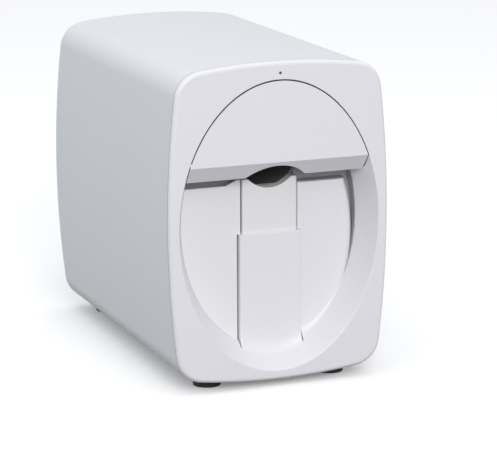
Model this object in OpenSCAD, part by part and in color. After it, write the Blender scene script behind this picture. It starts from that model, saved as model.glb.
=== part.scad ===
// Digital nail art printer, an assembly of separate pieces.
// Units are millimetres. +X is to the right seen from the front, -Y is the front, +Z is up.
// The origin is the centre of the bottom of the bounding box.

/* [Body] */
// Width across the widest point of the bowed side walls
shell_w = 140; // [126:1:154]
// Height of the body without its feet
shell_h = 193.5; // [175:0.5:212]
// Depth from the front face to the back face
shell_d = 228; // [206:1:250]
// Height of the feet below the body
foot_h = 3.5; // [3:0.5:5]
// How far each side wall bows outwards
bulge_side = 5.0; // [3:0.5:7]
// How far the top and the bottom bow outwards
bulge_top = 3.8; // [2:0.2:6]
// Corner radius of the body's cross section
corner_r = 17.2; // [14:0.2:20]
// Thickness of the outer walls
wall = 2.4; // [2:0.1:3]
// Rounding of the back edge
back_r = 6; // [4:0.5:8]

/* [Front bezel] */
// Thickness of the front face
bezel_t = 3.0; // [2.5:0.1:4]
// Rounding of the front edge
bezel_r = 2.5; // [1.5:0.1:3]
// Parting gap between bezel and shell
seam = 0.25; // [0.1:0.05:0.4]
// Depth of the locating flange inside the shell
flange_d = 7; // [5:0.5:10]
// Thickness of the locating flange
flange_t = 1.8; // [1.4:0.1:2.5]
// Clearance between the flange and the shell
flange_gap = 0.2; // [0.1:0.05:0.4]

/* [Hand bowl] */
// Width of the face beside the oval rim
rim_side = 6.3; // [5:0.1:10]
// Width of the face under the oval rim
rim_low = 6.1; // [5:0.1:10]
// Width of the face above the oval rim
rim_top = 11; // [9:0.1:14]
// Depth of the bowl's floor
bowl_d = 18.5; // [14:0.5:24]
// Inward draft of the bowl's wall, per millimetre of depth
bowl_draft = 0.4; // [0.3:0.05:0.6]
// Blend radius between wall and floor
bowl_blend = 8; // [4:0.5:10]
// Thickness of the bowl's wall
bowl_t = 2.2; // [1.8:0.1:3]
// Thickness of the bowl's floor
floor_t = 3.5; // [3:0.5:5]
// Depth of the wall beside the door
lip_d = 10; // [8:0.5:12]
// Distance of the floor's top edge below the body's top
floor_drop = 76.5; // [74:0.5:84]
// Width of the crescent gap beside the floor
crescent_w = 3.2; // [2:0.2:5]
// Drop of the floor's curve that shapes the crescent gap
crescent_drop = 10; // [6:0.5:14]

/* [Left hand panel] */
// Thickness of the panel
panel_t = 2.0; // [1.5:0.1:2.5]
// Distance of the panel's top edge below the body's top
panel_drop = 76; // [74:0.5:84]
// Extra height of the shoulder beside the finger rest
shoulder_h = 3.3; // [2:0.1:5]
// Width of the sloping part of the shoulder
shoulder_w = 7; // [4:0.5:10]
// Clearance around the panel
panel_gap = 0.1; // [0.05:0.05:0.2]

/* [Finger rest] */
// Half width of the finger rest
rest_hw = 17.2; // [14:0.1:20]
// Depth of its face behind the front
rest_d = 17.0; // [14:0.5:20]
// Distance of its top below the body's top
rest_drop = 72.7; // [70:0.1:80]
// Height of its lower end above the body's bottom
rest_low = 48.5; // [40:0.5:60]
// Radius of the notch for the finger
notch_r = 18.75; // [14:0.25:22]
// Depth of the notch for the finger
notch_d = 6; // [4:0.5:8]
// Wall thickness of the finger rest
rest_t = 1.6; // [1.2:0.1:2.5]
// Travel of the finger rest under load
rest_travel = 8; // [4:0.5:10]
// Width of the slits beside the rest and its sleeve
slit = 1.2; // [0.8:0.1:2]
// Half width of the sleeve
sleeve_hw = 19.4; // [16:0.1:22]
// Depth of the sleeve's face behind the front
sleeve_d = 15.2; // [12:0.2:18]
// Distance of the sleeve's top below the top of the finger rest
sleeve_drop = 33.3; // [30:0.1:40]
// Thickness of the sleeve's front wall
sleeve_t = 1.5; // [1.2:0.1:2]
// Rounding of the upright edges of rest and sleeve
edge_r = 1.2; // [0.8:0.1:1.4]

/* [Cartridge door] */
// Gap around the door
door_gap = 0.45; // [0.3:0.05:0.6]
// Thickness of the door's plate
door_t = 2.5; // [2:0.1:3]
// Depth of the door's skirt and lip
door_d = 9.5; // [8:0.5:10]
// Thickness of the skirt
skirt_t = 1.8; // [1.4:0.1:2.5]
// Distance of the door's lower front edge below the body's top
door_drop = 60.1; // [56:0.1:66]
// Drop of the bevel under the lower edge
bevel_drop = 9.8; // [6:0.2:12]
// Depth of the bevel
bevel_d = 8; // [6:0.5:9]
// Radius of the arch above the finger
arch_r = 28.4; // [20:0.2:34]
// Distance of the arch's top below the door's lower front edge
arch_drop = 2.5; // [1:0.1:5]
// Depth of the hinge axis behind the front
hinge_d = 5.5; // [5:0.1:6]
// Distance of the hinge axis below the body's top
hinge_drop = 7; // [6.5:0.1:7.5]
// Inner end of each hinge arm
arm_x0 = 6; // [5:0.5:7]
// Width of each hinge arm
arm_w = 5; // [4:0.5:6]
// Radius of the hinge pins
pin_r = 1; // [0.8:0.1:1.2]
// Radial clearance of running fits
run_fit = 0.06; // [0.03:0.01:0.1]
// Opening angle of the door
door_open = 75; // [60:1:75]

/* [Print mechanism] */
// Radius of the guide rods
rod_r = 3; // [2.5:0.5:4]
// Feed travel of the gantry
feed_travel = 24; // [15:1:24]
// Scan travel of the carriage
scan_travel = 40; // [30:1:40]
// Height of the cartridge's nozzles above the top of the finger rest
nozzle_gap = 15.7; // [15:0.1:17]
// Radius of the toothed pulleys
pulley_r = 5.6; // [5:0.1:6]
// Thickness of the belt
belt_t = 0.8; // [0.6:0.1:1]
// Lead screw radius
screw_r = 3; // [2.5:0.5:4]

/* [Back and base] */
// Width of the back face beside its opening
back_rim_x = 16; // [14:0.5:20]
// Width of the back face above and below its opening
back_rim_z = 14.75; // [13:0.25:20]
// Gap around the back cover
cover_gap = 0.25; // [0.15:0.05:0.4]
// Depth by which the back cover sits below the back face
cover_sink = 1.2; // [0.8:0.1:2]
// Fan size
fan_w = 40; // [30:5:40]
// Fan centre to the right
fan_x = 22; // [15:1:25]
// Fan centre above the middle of the body
fan_rise = 39.75; // [35:0.25:45]
// Power button radius
button_r = 6; // [5:0.5:7]
// Power button travel
button_travel = 1.5; // [1:0.1:2]
// Distance of the base plate's sides from the body's sides
base_side = 40; // [38:1:44]
// Distance of the base plate's ends from the front and the back
base_rim = 14; // [12:1:24]
// Foot radius
foot_r = 8.5; // [7:0.5:9]
// Distance of the feet's centres from the sides
foot_side = 30; // [28:1:34]
// Distance of the feet's centres from front and back
foot_end = 20; // [18:1:26]

/* [Hidden] */
$fn = 72;
eps = 0.01;
// how far the corner rounds lap over the side walls, so that they meet at clear edges
corner_lap = 0.01;
yf = -shell_d/2;
yb = shell_d/2;
zb = foot_h;
zt = foot_h + shell_h;
zc = foot_h + shell_h/2;
bowl_a = shell_w/2 - rim_side;
bowl_b = (shell_h - rim_low - rim_top)/2;
ze = zb + rim_low + bowl_b;
ratio = bowl_b/bowl_a;

// pillow-shaped cross section: bowed sides joined by tangent corner arcs
hw = shell_w/2 - corner_r;
hh = shell_h/2 - corner_r;
rsx = (hh*hh + bulge_side*bulge_side)/(2*bulge_side);
rsz = (hw*hw + bulge_top*bulge_top)/(2*bulge_top);
csx = hw - rsx;
csz = hh - rsz;
function side_x(z) = csx + sqrt(rsx*rsx - z*z);
function top_z(x) = csz + sqrt(rsz*rsz - x*x);
function settle(n, z) = n == 0 ? z : settle(n - 1, top_z(side_x(z)));
qz = settle(10, hh);
qx = side_x(qz);
// directions in which the corner arcs meet the side arcs and the top arcs
t1 = atan2(qz, qx - csx);
t2 = atan2(qz - csz, qx);

// heights in the shared frame
z_floor = zt - floor_drop;
z_panel = zt - panel_drop;
z_rest = zt - rest_drop;
z_rest0 = zb + rest_low;
z_sleeve = z_rest - sleeve_drop;
z_shelf = zb + 23.5;
z_slit = zb + 18.5;
z_door = zt - door_drop;
z_lip = z_door - bevel_drop;
z_skirt = z_door + 28.1;
z_hinge = zt - hinge_drop;
y_hinge = yf + hinge_d;
z_notch = z_rest - notch_d + notch_r;
z_arch = z_door - arch_drop - arch_r;
y_floor = yf + bowl_d;
y_floor_b = y_floor + floor_t;
y_rest = yf + rest_d;
y_rest_b = y_floor_b + 2;
y_sleeve = yf + sleeve_d;
arm_r0 = 7.9;
arm_r1 = 10.4;
knuckle_r = 2.2;
magnet_x = bowl_a - 23.7;
magnet_z = z_door + 5.1;
led_z = z_hinge;

// chassis levels
z_tray = zb + 18.5;
sheet = 2;
side_in = shell_w/2 - 10.5;
nozzle_z = z_rest + nozzle_gap;
deck_z = nozzle_z - 42;
plate_top = nozzle_z + 10;
chassis_y0 = yf + 28;
chassis_y1 = yb - 22.5;
mech_y = chassis_y0 + 86;
rod_y1 = mech_y + 9;
base_hl = shell_d/2 - base_rim;
base_hw = shell_w/2 - base_side;
foot_x = shell_w/2 - foot_side;
foot_y = shell_d/2 - foot_end;
post_x = base_hw - 10;
post_ys = [chassis_y0 + 10, chassis_y1 - 6];
board_x = 44;
power_y0 = chassis_y1 - 30.5;
power_y1 = chassis_y1 + 1.5;
main_y0 = chassis_y0 + 26;
main_y1 = power_y0 - 4;
board_z = z_tray + 8;
board_t = 1.6;
board_ys = [main_y0 + 6, main_y1 - 6, power_y0 + 6, power_y1 - 5];
socket_z = z_tray + 16;
inlet_x = -30;
button_x = 31;

// gantry levels
block_out = side_in - 1.5;
block_in = block_out - 12;
feed_rod_x = block_out - 6;
feed_rod_z = nozzle_z;
screw_x = -block_in;
screw_z = nozzle_z - 18;
gantry_y0 = mech_y - 52;
gantry_y1 = mech_y - 22;
rod_y = mech_y - 43;
rod_z0 = nozzle_z + 12;
rod_z1 = nozzle_z + 32;
block_z0 = nozzle_z - 10;
block_z1 = nozzle_z + 38;
belt_y0 = mech_y - 32;
belt_y1 = mech_y - 26;
pulley_x = block_in + 4;
pulley_z = nozzle_z + 16;
park_x = rest_hw + 8.8;
carriage_hw = block_in - 2 - park_x;
cart_y0 = mech_y - 97;
cart_y1 = mech_y - 50;
cart_z1 = block_z1;
light_x = -rest_hw - 8.4;

// back levels
back_hw = shell_w/2 - back_rim_x;
back_hh = shell_h/2 - back_rim_z;
back_corner = 8;
boss_x = back_hw - 6;
boss_z = back_hh - 6;
cover_y0 = yb - 5;
cover_y1 = yb - cover_sink;
fan_z = zc + fan_rise;
fan_y0 = cover_y0 - 10;

// ---------- helpers ----------
module block(x0, x1, y0, y1, z0, z1) translate([x0, y0, z0]) cube([x1 - x0, y1 - y0, z1 - z0]);
module bar_x(x0, x1, y, z, r) translate([x0, y, z]) rotate([0, 90, 0]) cylinder(h = x1 - x0, r = r);
module bar_y(x, z, r, y0, y1) translate([x, y0, z]) rotate([-90, 0, 0]) cylinder(h = y1 - y0, r = r);
module bar_z(x, y, r, z0, z1) translate([x, y, z0]) cylinder(h = z1 - z0, r = r);
// extrudes a drawing in the XZ plane from y0 to y1
module slab(y0, y1) translate([0, y1, 0]) rotate([90, 0, 0]) linear_extrude(y1 - y0) children();
// extrudes a drawing in the YZ plane from x0 to x1
module slice(x0, x1) translate([x0, 0, 0]) rotate([90, 0, 90]) linear_extrude(x1 - x0) children();
// rounded rectangle around a centre
module round_rect(cx, cz, hx, hz, r) translate([cx, cz]) {
    square([2*hx, 2*(hz - r)], center = true);
    square([2*(hx - r), 2*hz], center = true);
    for (sx = [-1, 1], sz = [-1, 1]) translate([sx*(hx - r), sz*(hz - r)]) circle(r);
}
module disc(r, y0, y1, n) bar_n(r, y0, y1, n);
module bar_n(r, y0, y1, n) translate([0, y0, 0]) rotate([-90, 0, 0]) cylinder(h = y1 - y0, r = r, $fn = n);
// solid with the body's cross section, smaller by an inset
module pillow(inset, y0, y1) translate([0, 0, zc]) {
    difference() {
        intersection() {
            translate([csx, 0, 0]) disc(rsx + corner_r - inset, y0, y1, 720);
            translate([-csx, 0, 0]) disc(rsx + corner_r - inset, y0, y1, 720);
            translate([0, 0, csz]) disc(rsz + corner_r - inset, y0, y1, 720);
            translate([0, 0, -csz]) disc(rsz + corner_r - inset, y0, y1, 720);
        }
        for (c = [[1, 1, t1], [-1, 1, 180 - t2], [-1, -1, 180 + t1], [1, -1, -t2]]) translate([c[0]*qx, 0, c[1]*qz])
            slab(y0 - 1, y1 + 1) polygon([[0, 0], 40*[cos(c[2]), sin(c[2])],
                60*[cos(c[2] + (t2 - t1)/2), sin(c[2] + (t2 - t1)/2)], 40*[cos(c[2] + t2 - t1), sin(c[2] + t2 - t1)]]);
    }
    for (sx = [-1, 1], sz = [-1, 1]) translate([sx*qx, 0, sz*qz]) disc(corner_r - inset + corner_lap, y0, y1, 96);
}
// the same with its front edge rounded by f0 and its back edge by f1, in n fine steps
module rounded_pillow(y0, y1, f0, f1, n) {
    pillow(0, y0 + f0, y1 - f1);
    for (i = [0:n - 1]) {
        a = 90*i/n;
        if (f0 > 0) pillow(f0*(1 - sin(a + 45/n)), y0 + f0*(1 - cos(a)), y0 + f0 + 0.1);
        if (f1 > 0) pillow(f1*(1 - sin(a + 45/n)), y1 - f1 - 0.1, y1 - f1*(1 - cos(a)));
    }
}
// oval cone around the bowl's centre; the radii are half widths
module oval(r0, r1, y0, y1) translate([0, y0, ze]) scale([1, 1, ratio]) rotate([-90, 0, 0]) cylinder(r1 = r0, r2 = r1, h = y1 - y0, $fn = 144);
// oval cone with the wall's own draft, drawn from depth d0 to d1, larger by grow
module funnel(grow, d0, d1) oval(bowl_a + grow - bowl_draft*d0, bowl_a + grow - bowl_draft*d1, yf + d0, yf + d1);

// ---------- outside ----------
module main_shell() color([0.86, 0.87, 0.9]) difference() {
    union() {
        difference() {
            rounded_pillow(yf + bezel_t + seam, yb, 0, back_r, 5);
            pillow(wall, yf, yb - wall - 3);
            pillow(wall + 1.5, yb - wall - 4, yb - wall);
        }
        // bosses for the back cover's screws, tied to the corners
        for (c = [[1, 1, 45], [-1, 1, 135], [-1, -1, 225], [1, -1, 315]]) translate([c[0]*boss_x, 0, zc + c[1]*boss_z]) {
            bar_y(0, 0, 4, cover_y0 - 17, cover_y0);
            slab(cover_y0 - 17, cover_y0) rotate(c[2]) translate([0, -1]) square([corner_r - 1, 2]);
        }
    }
    slab(yb - wall - 1, yb + 1) round_rect(0, zc, back_hw, back_hh, back_corner);
    for (sx = [-1, 1], sz = [-1, 1]) bar_y(sx*boss_x, zc + sz*boss_z, 1.5, cover_y0 - 11, cover_y0 + 1);
    block(-base_hw + 4, base_hw - 4, -base_hl + 4, base_hl - 4, 0, 12);
    for (sx = [-1, 1], sy = [-1, 1]) bar_z(sx*foot_x, sy*foot_y, 3, 0, 12);
}

module bowl_profile() {
    k = sqrt(1 + bowl_draft*bowl_draft);
    dc = bowl_d - bowl_blend;
    rc = bowl_a - bowl_draft*dc - k*bowl_blend;
    rt = rc + bowl_blend/k;
    dt = dc + bowl_draft*bowl_blend/k;
    polygon([[0, -1], [bowl_a + bowl_draft, -1], [rt, dt], [rc, dc], [rc, bowl_d], [0, bowl_d]]);
    translate([rc, dc]) circle(bowl_blend);
}
// outline of the floor's left part with its shoulder, cut back by c
module left_outline(c) polygon([
    [-shell_w/2, 0], [-sleeve_hw - slit - c, 0], [-sleeve_hw - slit - c, z_sleeve], [-rest_hw - slit - c, z_sleeve],
    [-rest_hw - slit - c, z_panel + shoulder_h - c], [-sleeve_hw - slit - c, z_panel + shoulder_h - c],
    [-sleeve_hw - slit - shoulder_w, z_panel - c], [-shell_w/2, z_panel - c]]);

module front_bezel() color([0.9, 0.9, 0.94]) {
    difference() {
        union() {
            rounded_pillow(yf, yf + bezel_t, bezel_r, 0, 4);
            difference() {
                pillow(wall + flange_gap, yf + bezel_t - 0.4, yf + bezel_t + flange_d);
                pillow(wall + flange_gap + flange_t, yf, yf + bezel_t + flange_d + 1);
                block(-14, 14, yf + bezel_t, yf + 20, zt - 12, zt);
            }
            // the wall: deep around the bowl, shallow beside the door
            intersection() {
                funnel(bowl_t, bezel_t - 0.5, bowl_d + floor_t);
                block(-shell_w/2, shell_w/2, yf, y_floor_b, 0, z_lip + 5);
            }
            intersection() {
                funnel(bowl_t, bezel_t - 0.5, lip_d);
                block(-shell_w/2, shell_w/2, yf, yf + lip_d, z_lip, z_skirt);
            }
        }
        // the bowl
        intersection() {
            translate([0, yf, ze]) scale([1, 1, ratio]) rotate([-90, 0, 0]) rotate_extrude($fn = 144) bowl_profile();
            block(-sleeve_hw - slit, shell_w/2, yf - 2, y_floor + 1, 0, zt);
        }
        intersection() {
            funnel(-0.05, -1, bowl_d);
            block(-shell_w/2, -sleeve_hw - slit + 0.02, yf - 2, y_floor, 0, zt);
        }
        // pocket of the left panel
        intersection() {
            funnel(-0.1, bowl_d - 1, bowl_d + panel_t);
            slab(y_floor - 1, y_floor + panel_t) left_outline(-0.1);
        }
        // open above the floor's top edge
        intersection() {
            funnel(-0.1, 1, bowl_d + floor_t + 2);
            slab(yf, y_floor_b + 2) difference() {
                translate([-shell_w/2, z_floor]) square([shell_w, zt - z_floor]);
                left_outline(0);
            }
        }
        // crescent gap between the floor and the wall on the right
        intersection() {
            difference() {
                funnel(-0.15, bowl_d - 1.5, bowl_d + floor_t + 1);
                translate([-crescent_w, 0, -crescent_drop]) oval(bowl_a - bowl_draft*bowl_d, bowl_a - bowl_draft*bowl_d, y_floor - 3, y_floor_b + 3);
            }
            block(rest_hw + 10, shell_w/2, y_floor - 1.5, y_floor_b + 1, ze - 35.8, z_floor + 4);
        }
        // channel for the finger rest and its sleeve
        block(-sleeve_hw - slit, sleeve_hw + slit, yf, y_floor_b + 1, z_slit, z_sleeve);
        block(-rest_hw - slit, rest_hw + slit, yf, y_floor_b + 1, z_sleeve - eps, z_lip + 4.9);
        // seat of the light lens
        bar_y(0, led_z, 0.85, yf - 1, yf + bezel_t + 1);
    }
    // sleeve, one with the bowl at its foot
    difference() {
        intersection() {
            translate([0, 0, z_shelf - 11]) linear_extrude(z_sleeve - z_shelf + 11) {
                translate([-sleeve_hw, y_sleeve + edge_r]) square([2*sleeve_hw, y_floor_b - y_sleeve - edge_r]);
                translate([-sleeve_hw + edge_r, y_sleeve]) square([2*(sleeve_hw - edge_r), 4]);
                for (s = [-1, 1]) translate([s*(sleeve_hw - edge_r), y_sleeve + edge_r]) circle(edge_r);
            }
            funnel(bowl_t - 1, 1, bowl_d + floor_t);
        }
        block(-rest_hw - 0.4, rest_hw + 0.4, y_sleeve + sleeve_t, y_floor_b + 1, z_shelf, z_sleeve + 1);
    }
    // spring pegs on the sleeve's shelf
    for (s = [-1, 1]) bar_z(s*9, y_floor_b - 1.6, 1.6, z_shelf - 1, z_shelf + 11);
    // hinge cheeks
    difference() {
        for (s = [-1, 1], x = [arm_x0 - 1.8, arm_x0 + arm_w + 0.3]) {
            x0 = s > 0 ? x : -x - 1.5;
            slice(x0, x0 + 1.5) {
                translate([yf + bezel_t - 0.2, z_hinge - 2]) square([hinge_d - bezel_t + 0.2, 4]);
                translate([y_hinge, z_hinge]) circle(2.4);
            }
        }
        bar_x(-20, 20, y_hinge, z_hinge, pin_r);
    }
    // ribs that carry the light board
    for (s = [-1, 1]) block(s > 0 ? 2.4 : -3.6, s > 0 ? 3.6 : -2.4, yf + bezel_t - 0.2, yf + bezel_t + 2, led_z - 3, led_z + 3);
    // arms that carry the magnet strikes
    for (s = [-1, 1]) {
        block(s > 0 ? magnet_x - 6 : -bowl_a + 9.2, s > 0 ? bowl_a - 9.2 : -magnet_x + 6, yf + 11.1, yf + 13.1, magnet_z - 4, magnet_z + 4);
        block(s > 0 ? bowl_a - 11.5 : -bowl_a + 9.2, s > 0 ? bowl_a - 9.2 : -bowl_a + 11.5, yf + 8, yf + 11.2, magnet_z - 2, magnet_z + 4);
    }
}

module left_hand_panel() color([0.86, 0.86, 0.88]) intersection() {
    funnel(-panel_gap - 0.1, bowl_d, bowl_d + panel_t);
    slab(y_floor, y_floor + panel_t - 0.02) left_outline(0);
}

module door_arm(s) {
    x0 = s > 0 ? arm_x0 : -arm_x0 - arm_w;
    difference() {
        slice(x0, x0 + arm_w) {
            difference() {
                translate([y_hinge, z_hinge]) circle(arm_r1);
                translate([y_hinge, z_hinge]) circle(arm_r0);
                translate([y_hinge - 20, z_hinge + 1.6]) square([40, 20]);
                translate([yf - 20, z_hinge - 20]) square([20 + door_t - 0.1, 40]);
                // the ring stops short of the plate above the door's top edge
                translate([yf, z_hinge - 7.6]) square([hinge_d - 1, 20]);
            }
            translate([y_hinge, z_hinge - 1.6]) square([arm_r1 - 0.3, 3.2]);
            translate([y_hinge, z_hinge]) circle(knuckle_r);
        }
        bar_x(-20, 20, y_hinge, z_hinge, pin_r + run_fit);
    }
}

module cartridge_door() color([0.88, 0.88, 0.92]) {
    k = bevel_drop/bevel_d;
    t = 2*sqrt(1 + k*k);
    difference() {
        union() {
            // plate and skirt in the lower part
            difference() {
                intersection() {
                    funnel(-door_gap, 0, door_d);
                    slice(-shell_w/2, shell_w/2) polygon([[yf, z_door], [yf + bevel_d, z_lip], [yf + door_d, z_lip], [yf + door_d, z_skirt], [yf, z_skirt]]);
                }
                intersection() {
                    funnel(-door_gap - skirt_t, door_t, door_d + 1);
                    slice(-shell_w/2, shell_w/2) polygon([[yf + door_t, z_door - k*door_t + t], [yf + door_d + 1, z_door - k*(door_d + 1) + t], [yf + door_d + 1, z_skirt + 5], [yf + door_t, z_skirt + 5]]);
                }
            }
            // plate with steep edges in the upper part
            intersection() {
                oval(bowl_a - door_gap, bowl_a - door_gap - door_t, yf, yf + door_t);
                block(-shell_w/2, shell_w/2, yf, yf + door_t, z_skirt - eps, zt);
            }
            door_arm(-1);
            door_arm(1);
            for (s = [-1, 1]) bar_y(s*magnet_x, magnet_z, 4.5, yf + door_t - 0.1, yf + door_d);
        }
        bar_y(0, z_arch, arch_r, yf - 1, yf + door_d + 1);
        for (s = [-1, 1]) bar_y(s*magnet_x, magnet_z, 3, yf + door_d - 3, yf + door_d + 1);
    }
}
module door_hinge_pins() color([0.75, 0.76, 0.78]) for (s = [-1, 1]) {
    x0 = s > 0 ? arm_x0 - 1.8 : -arm_x0 - arm_w - 1.8;
    bar_x(x0, x0 + arm_w + 3.6, y_hinge, z_hinge, pin_r);
}
module door_magnets() color([0.7, 0.7, 0.72]) for (s = [-1, 1]) bar_y(s*magnet_x, magnet_z, 3, yf + door_d - 3, yf + door_d - 0.1);
module magnet_strikes() color([0.6, 0.6, 0.62]) for (s = [-1, 1]) bar_y(s*magnet_x, magnet_z, 4, yf + 9.9, yf + 11.1);
module status_light_lens() color([0.2, 0.2, 0.24]) {
    bar_y(0, led_z, 0.8, yf + 0.1, yf + bezel_t + 2);
    bar_y(0, led_z, 1.6, yf + bezel_t, yf + bezel_t + 2);
}
module status_light_board() color([0.1, 0.35, 0.2]) block(-3.6, 3.6, yf + bezel_t + 2, yf + bezel_t + 3, led_z - 3, led_z + 3);

// ---------- finger rest ----------
module finger_rest() color([0.84, 0.84, 0.86]) difference() {
    translate([0, 0, z_rest0]) linear_extrude(z_rest - z_rest0) {
        translate([-rest_hw, y_rest + edge_r]) square([2*rest_hw, y_rest_b - y_rest - edge_r]);
        translate([-rest_hw + edge_r, y_rest]) square([2*(rest_hw - edge_r), 4]);
        for (s = [-1, 1]) translate([s*(rest_hw - edge_r), y_rest + edge_r]) circle(edge_r);
    }
    bar_y(0, z_notch, notch_r, y_rest - 1, y_rest_b + 1);
    difference() {
        block(-rest_hw + 1.8, rest_hw - 1.8, y_rest + rest_t, y_rest_b + 1, z_rest0 + 2, z_rest - 1.8);
        bar_y(0, z_notch, notch_r + 1.8, y_rest, y_rest_b + 2);
    }
}
module finger_cradle() color([0.22, 0.22, 0.24]) {
    difference() {
        bar_y(0, z_notch, notch_r + 2.2, y_rest_b, y_rest_b + 30);
        bar_y(0, z_notch, notch_r + 0.4, y_rest_b - 1, y_rest_b + 31);
        block(-30, 30, y_rest_b - 10, y_rest_b + 40, z_notch - 9, z_notch + 40);
    }
    block(-rest_hw + 2, rest_hw - 2, y_rest_b - 1.8, y_rest_b + 1, z_rest - 24, z_rest - notch_d - 3.4);
    block(-12, 12, y_rest_b, y_rest_b + 1.6, z_rest - 24, z_rest - notch_d + 1);
}
module finger_rest_guide() color([0.3, 0.3, 0.32]) difference() {
    block(-24, 24, y_floor_b, y_floor_b + 4, z_shelf - 3, z_sleeve + 1);
    block(-rest_hw - 0.4, rest_hw + 0.4, y_floor_b - 1, y_rest_b + 0.2, z_shelf, z_sleeve + 2);
}
module finger_rest_springs() color([0.7, 0.71, 0.73]) for (s = [-1, 1])
    translate([s*9, y_floor_b - 1.6, z_shelf]) linear_extrude(height = z_rest0 - z_shelf, twist = -360*6, slices = 84, $fn = 6) translate([2.4, 0]) circle(0.35, $fn = 6);

// ---------- chassis ----------
module chassis() color([0.5, 0.52, 0.55]) difference() {
    union() {
        block(-side_in - sheet, side_in + sheet, chassis_y0, chassis_y1, z_tray, z_tray + sheet);
        // posts on the base plate and feet on the shell
        for (s = [-1, 1], y = post_ys) bar_z(s*post_x, y, 4, 6.4, z_tray + 1);
        intersection() {
            for (s = [-1, 1], y = [chassis_y0 + 16, chassis_y1 - 22]) bar_z(s*40, y, 5, 0, z_tray + 1);
            pillow(wall + 0.05, yf, yb);
        }
        // posts of the circuit boards
        for (s = [-1, 1], y = board_ys) bar_z(s*board_x, y, 3, z_tray, board_z);
    }
    for (s = [-1, 1], y = post_ys) bar_z(s*post_x, y, 1.5, 6, z_tray - 4);
    for (s = [-1, 1], y = board_ys) bar_z(s*board_x, y, 1.2, z_tray + 2, board_z + 1);
}
module side_plates() color([0.5, 0.52, 0.55]) for (s = [-1, 1]) difference() {
    block(s > 0 ? side_in : -side_in - sheet, s > 0 ? side_in + sheet : -side_in, chassis_y0, mech_y + 40, z_tray + sheet, plate_top);
    // lightening window
    block(s > 0 ? side_in - 1 : -side_in - sheet - 1, s > 0 ? side_in + sheet + 1 : -side_in + 1, mech_y - 60, mech_y + 14, z_tray + 18, deck_z - 10);
}
module deck_plate() color([0.5, 0.52, 0.55]) {
    block(-side_in, side_in, chassis_y0, mech_y + 8, deck_z, deck_z + sheet);
    // post of the nail light
    block(light_x - 5.4, light_x, chassis_y0 + 4, chassis_y0 + 20, deck_z + sheet - eps, deck_z + 18);
}
module rod_brackets() color([0.46, 0.48, 0.5]) for (s = [-1, 1], y = [chassis_y0, rod_y1 - 3]) difference() {
    block(s > 0 ? block_in : -side_in, s > 0 ? side_in : -block_in, y, y + 3, feed_rod_z - 6, feed_rod_z + 6);
    bar_y(s*feed_rod_x, feed_rod_z, rod_r, y - 1, y + 4);
}
module screw_bearing() color([0.46, 0.48, 0.5]) difference() {
    block(-side_in, screw_x + 6, chassis_y0, chassis_y0 + 3, screw_z - 6, screw_z + 6);
    bar_y(screw_x, screw_z, screw_r + run_fit, chassis_y0 - 1, chassis_y0 + 4);
}
module motor_plate() color([0.46, 0.48, 0.5]) difference() {
    block(-side_in, screw_x + 13, mech_y + 6, mech_y + 8, deck_z + sheet, feed_rod_z - 6);
    bar_y(screw_x, screw_z, screw_r + run_fit, mech_y + 5, mech_y + 9);
}
module nail_light_board() color([0.93, 0.93, 0.95]) {
    block(light_x, light_x + 1.6, chassis_y0 + 2, chassis_y0 + 24, deck_z + 8, deck_z + 36);
    for (y = [chassis_y0 + 6, chassis_y0 + 13, chassis_y0 + 20]) block(light_x + 1.55, light_x + 2.4, y - 1.5, y + 1.5, deck_z + 30, deck_z + 33);
}
module feed_rods() color([0.75, 0.76, 0.78]) for (s = [-1, 1]) bar_y(s*feed_rod_x, feed_rod_z, rod_r, chassis_y0, rod_y1);

// ---------- gantry ----------
module end_block(s) {
    difference() {
        block(s > 0 ? block_in : -block_out, s > 0 ? block_out : -block_in, gantry_y0, gantry_y1, block_z0, block_z1);
        block(s > 0 ? block_in - 1 : -block_out - 1, s > 0 ? block_out + 1 : -block_in + 1, belt_y0 - 2, belt_y1 + 2, pulley_z - 8.5, pulley_z + 8.5);
        bar_y(s*feed_rod_x, feed_rod_z, rod_r + run_fit, gantry_y0 - 1, gantry_y1 + 1);
        for (z = [rod_z0, rod_z1]) bar_x(s > 0 ? block_in - 1 : -block_out + 2, s > 0 ? block_out - 2 : -block_in + 1, rod_y, z, rod_r);
        bar_y(s*pulley_x, pulley_z, s > 0 ? 3 : 1.5, belt_y1 + 1, gantry_y1 + 1);
    }
}
module gantry_left_block() color([0.2, 0.2, 0.22]) {
    difference() {
        union() {
            end_block(-1);
            block(screw_x - 8, screw_x + 8, gantry_y0, gantry_y0 + 16, screw_z - 8, block_z0 + 0.5);
        }
        bar_y(screw_x, screw_z, 6, gantry_y0 - 1, gantry_y0 + 17);
    }
    bar_y(-pulley_x, pulley_z, 1.5, belt_y0 - 4, gantry_y1);
}
module gantry_right_block() color([0.2, 0.2, 0.22]) end_block(1);
module scan_rods() color([0.75, 0.76, 0.78]) for (z = [rod_z0, rod_z1]) bar_x(-block_out + 2, block_out - 2, rod_y, z, rod_r);
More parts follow.
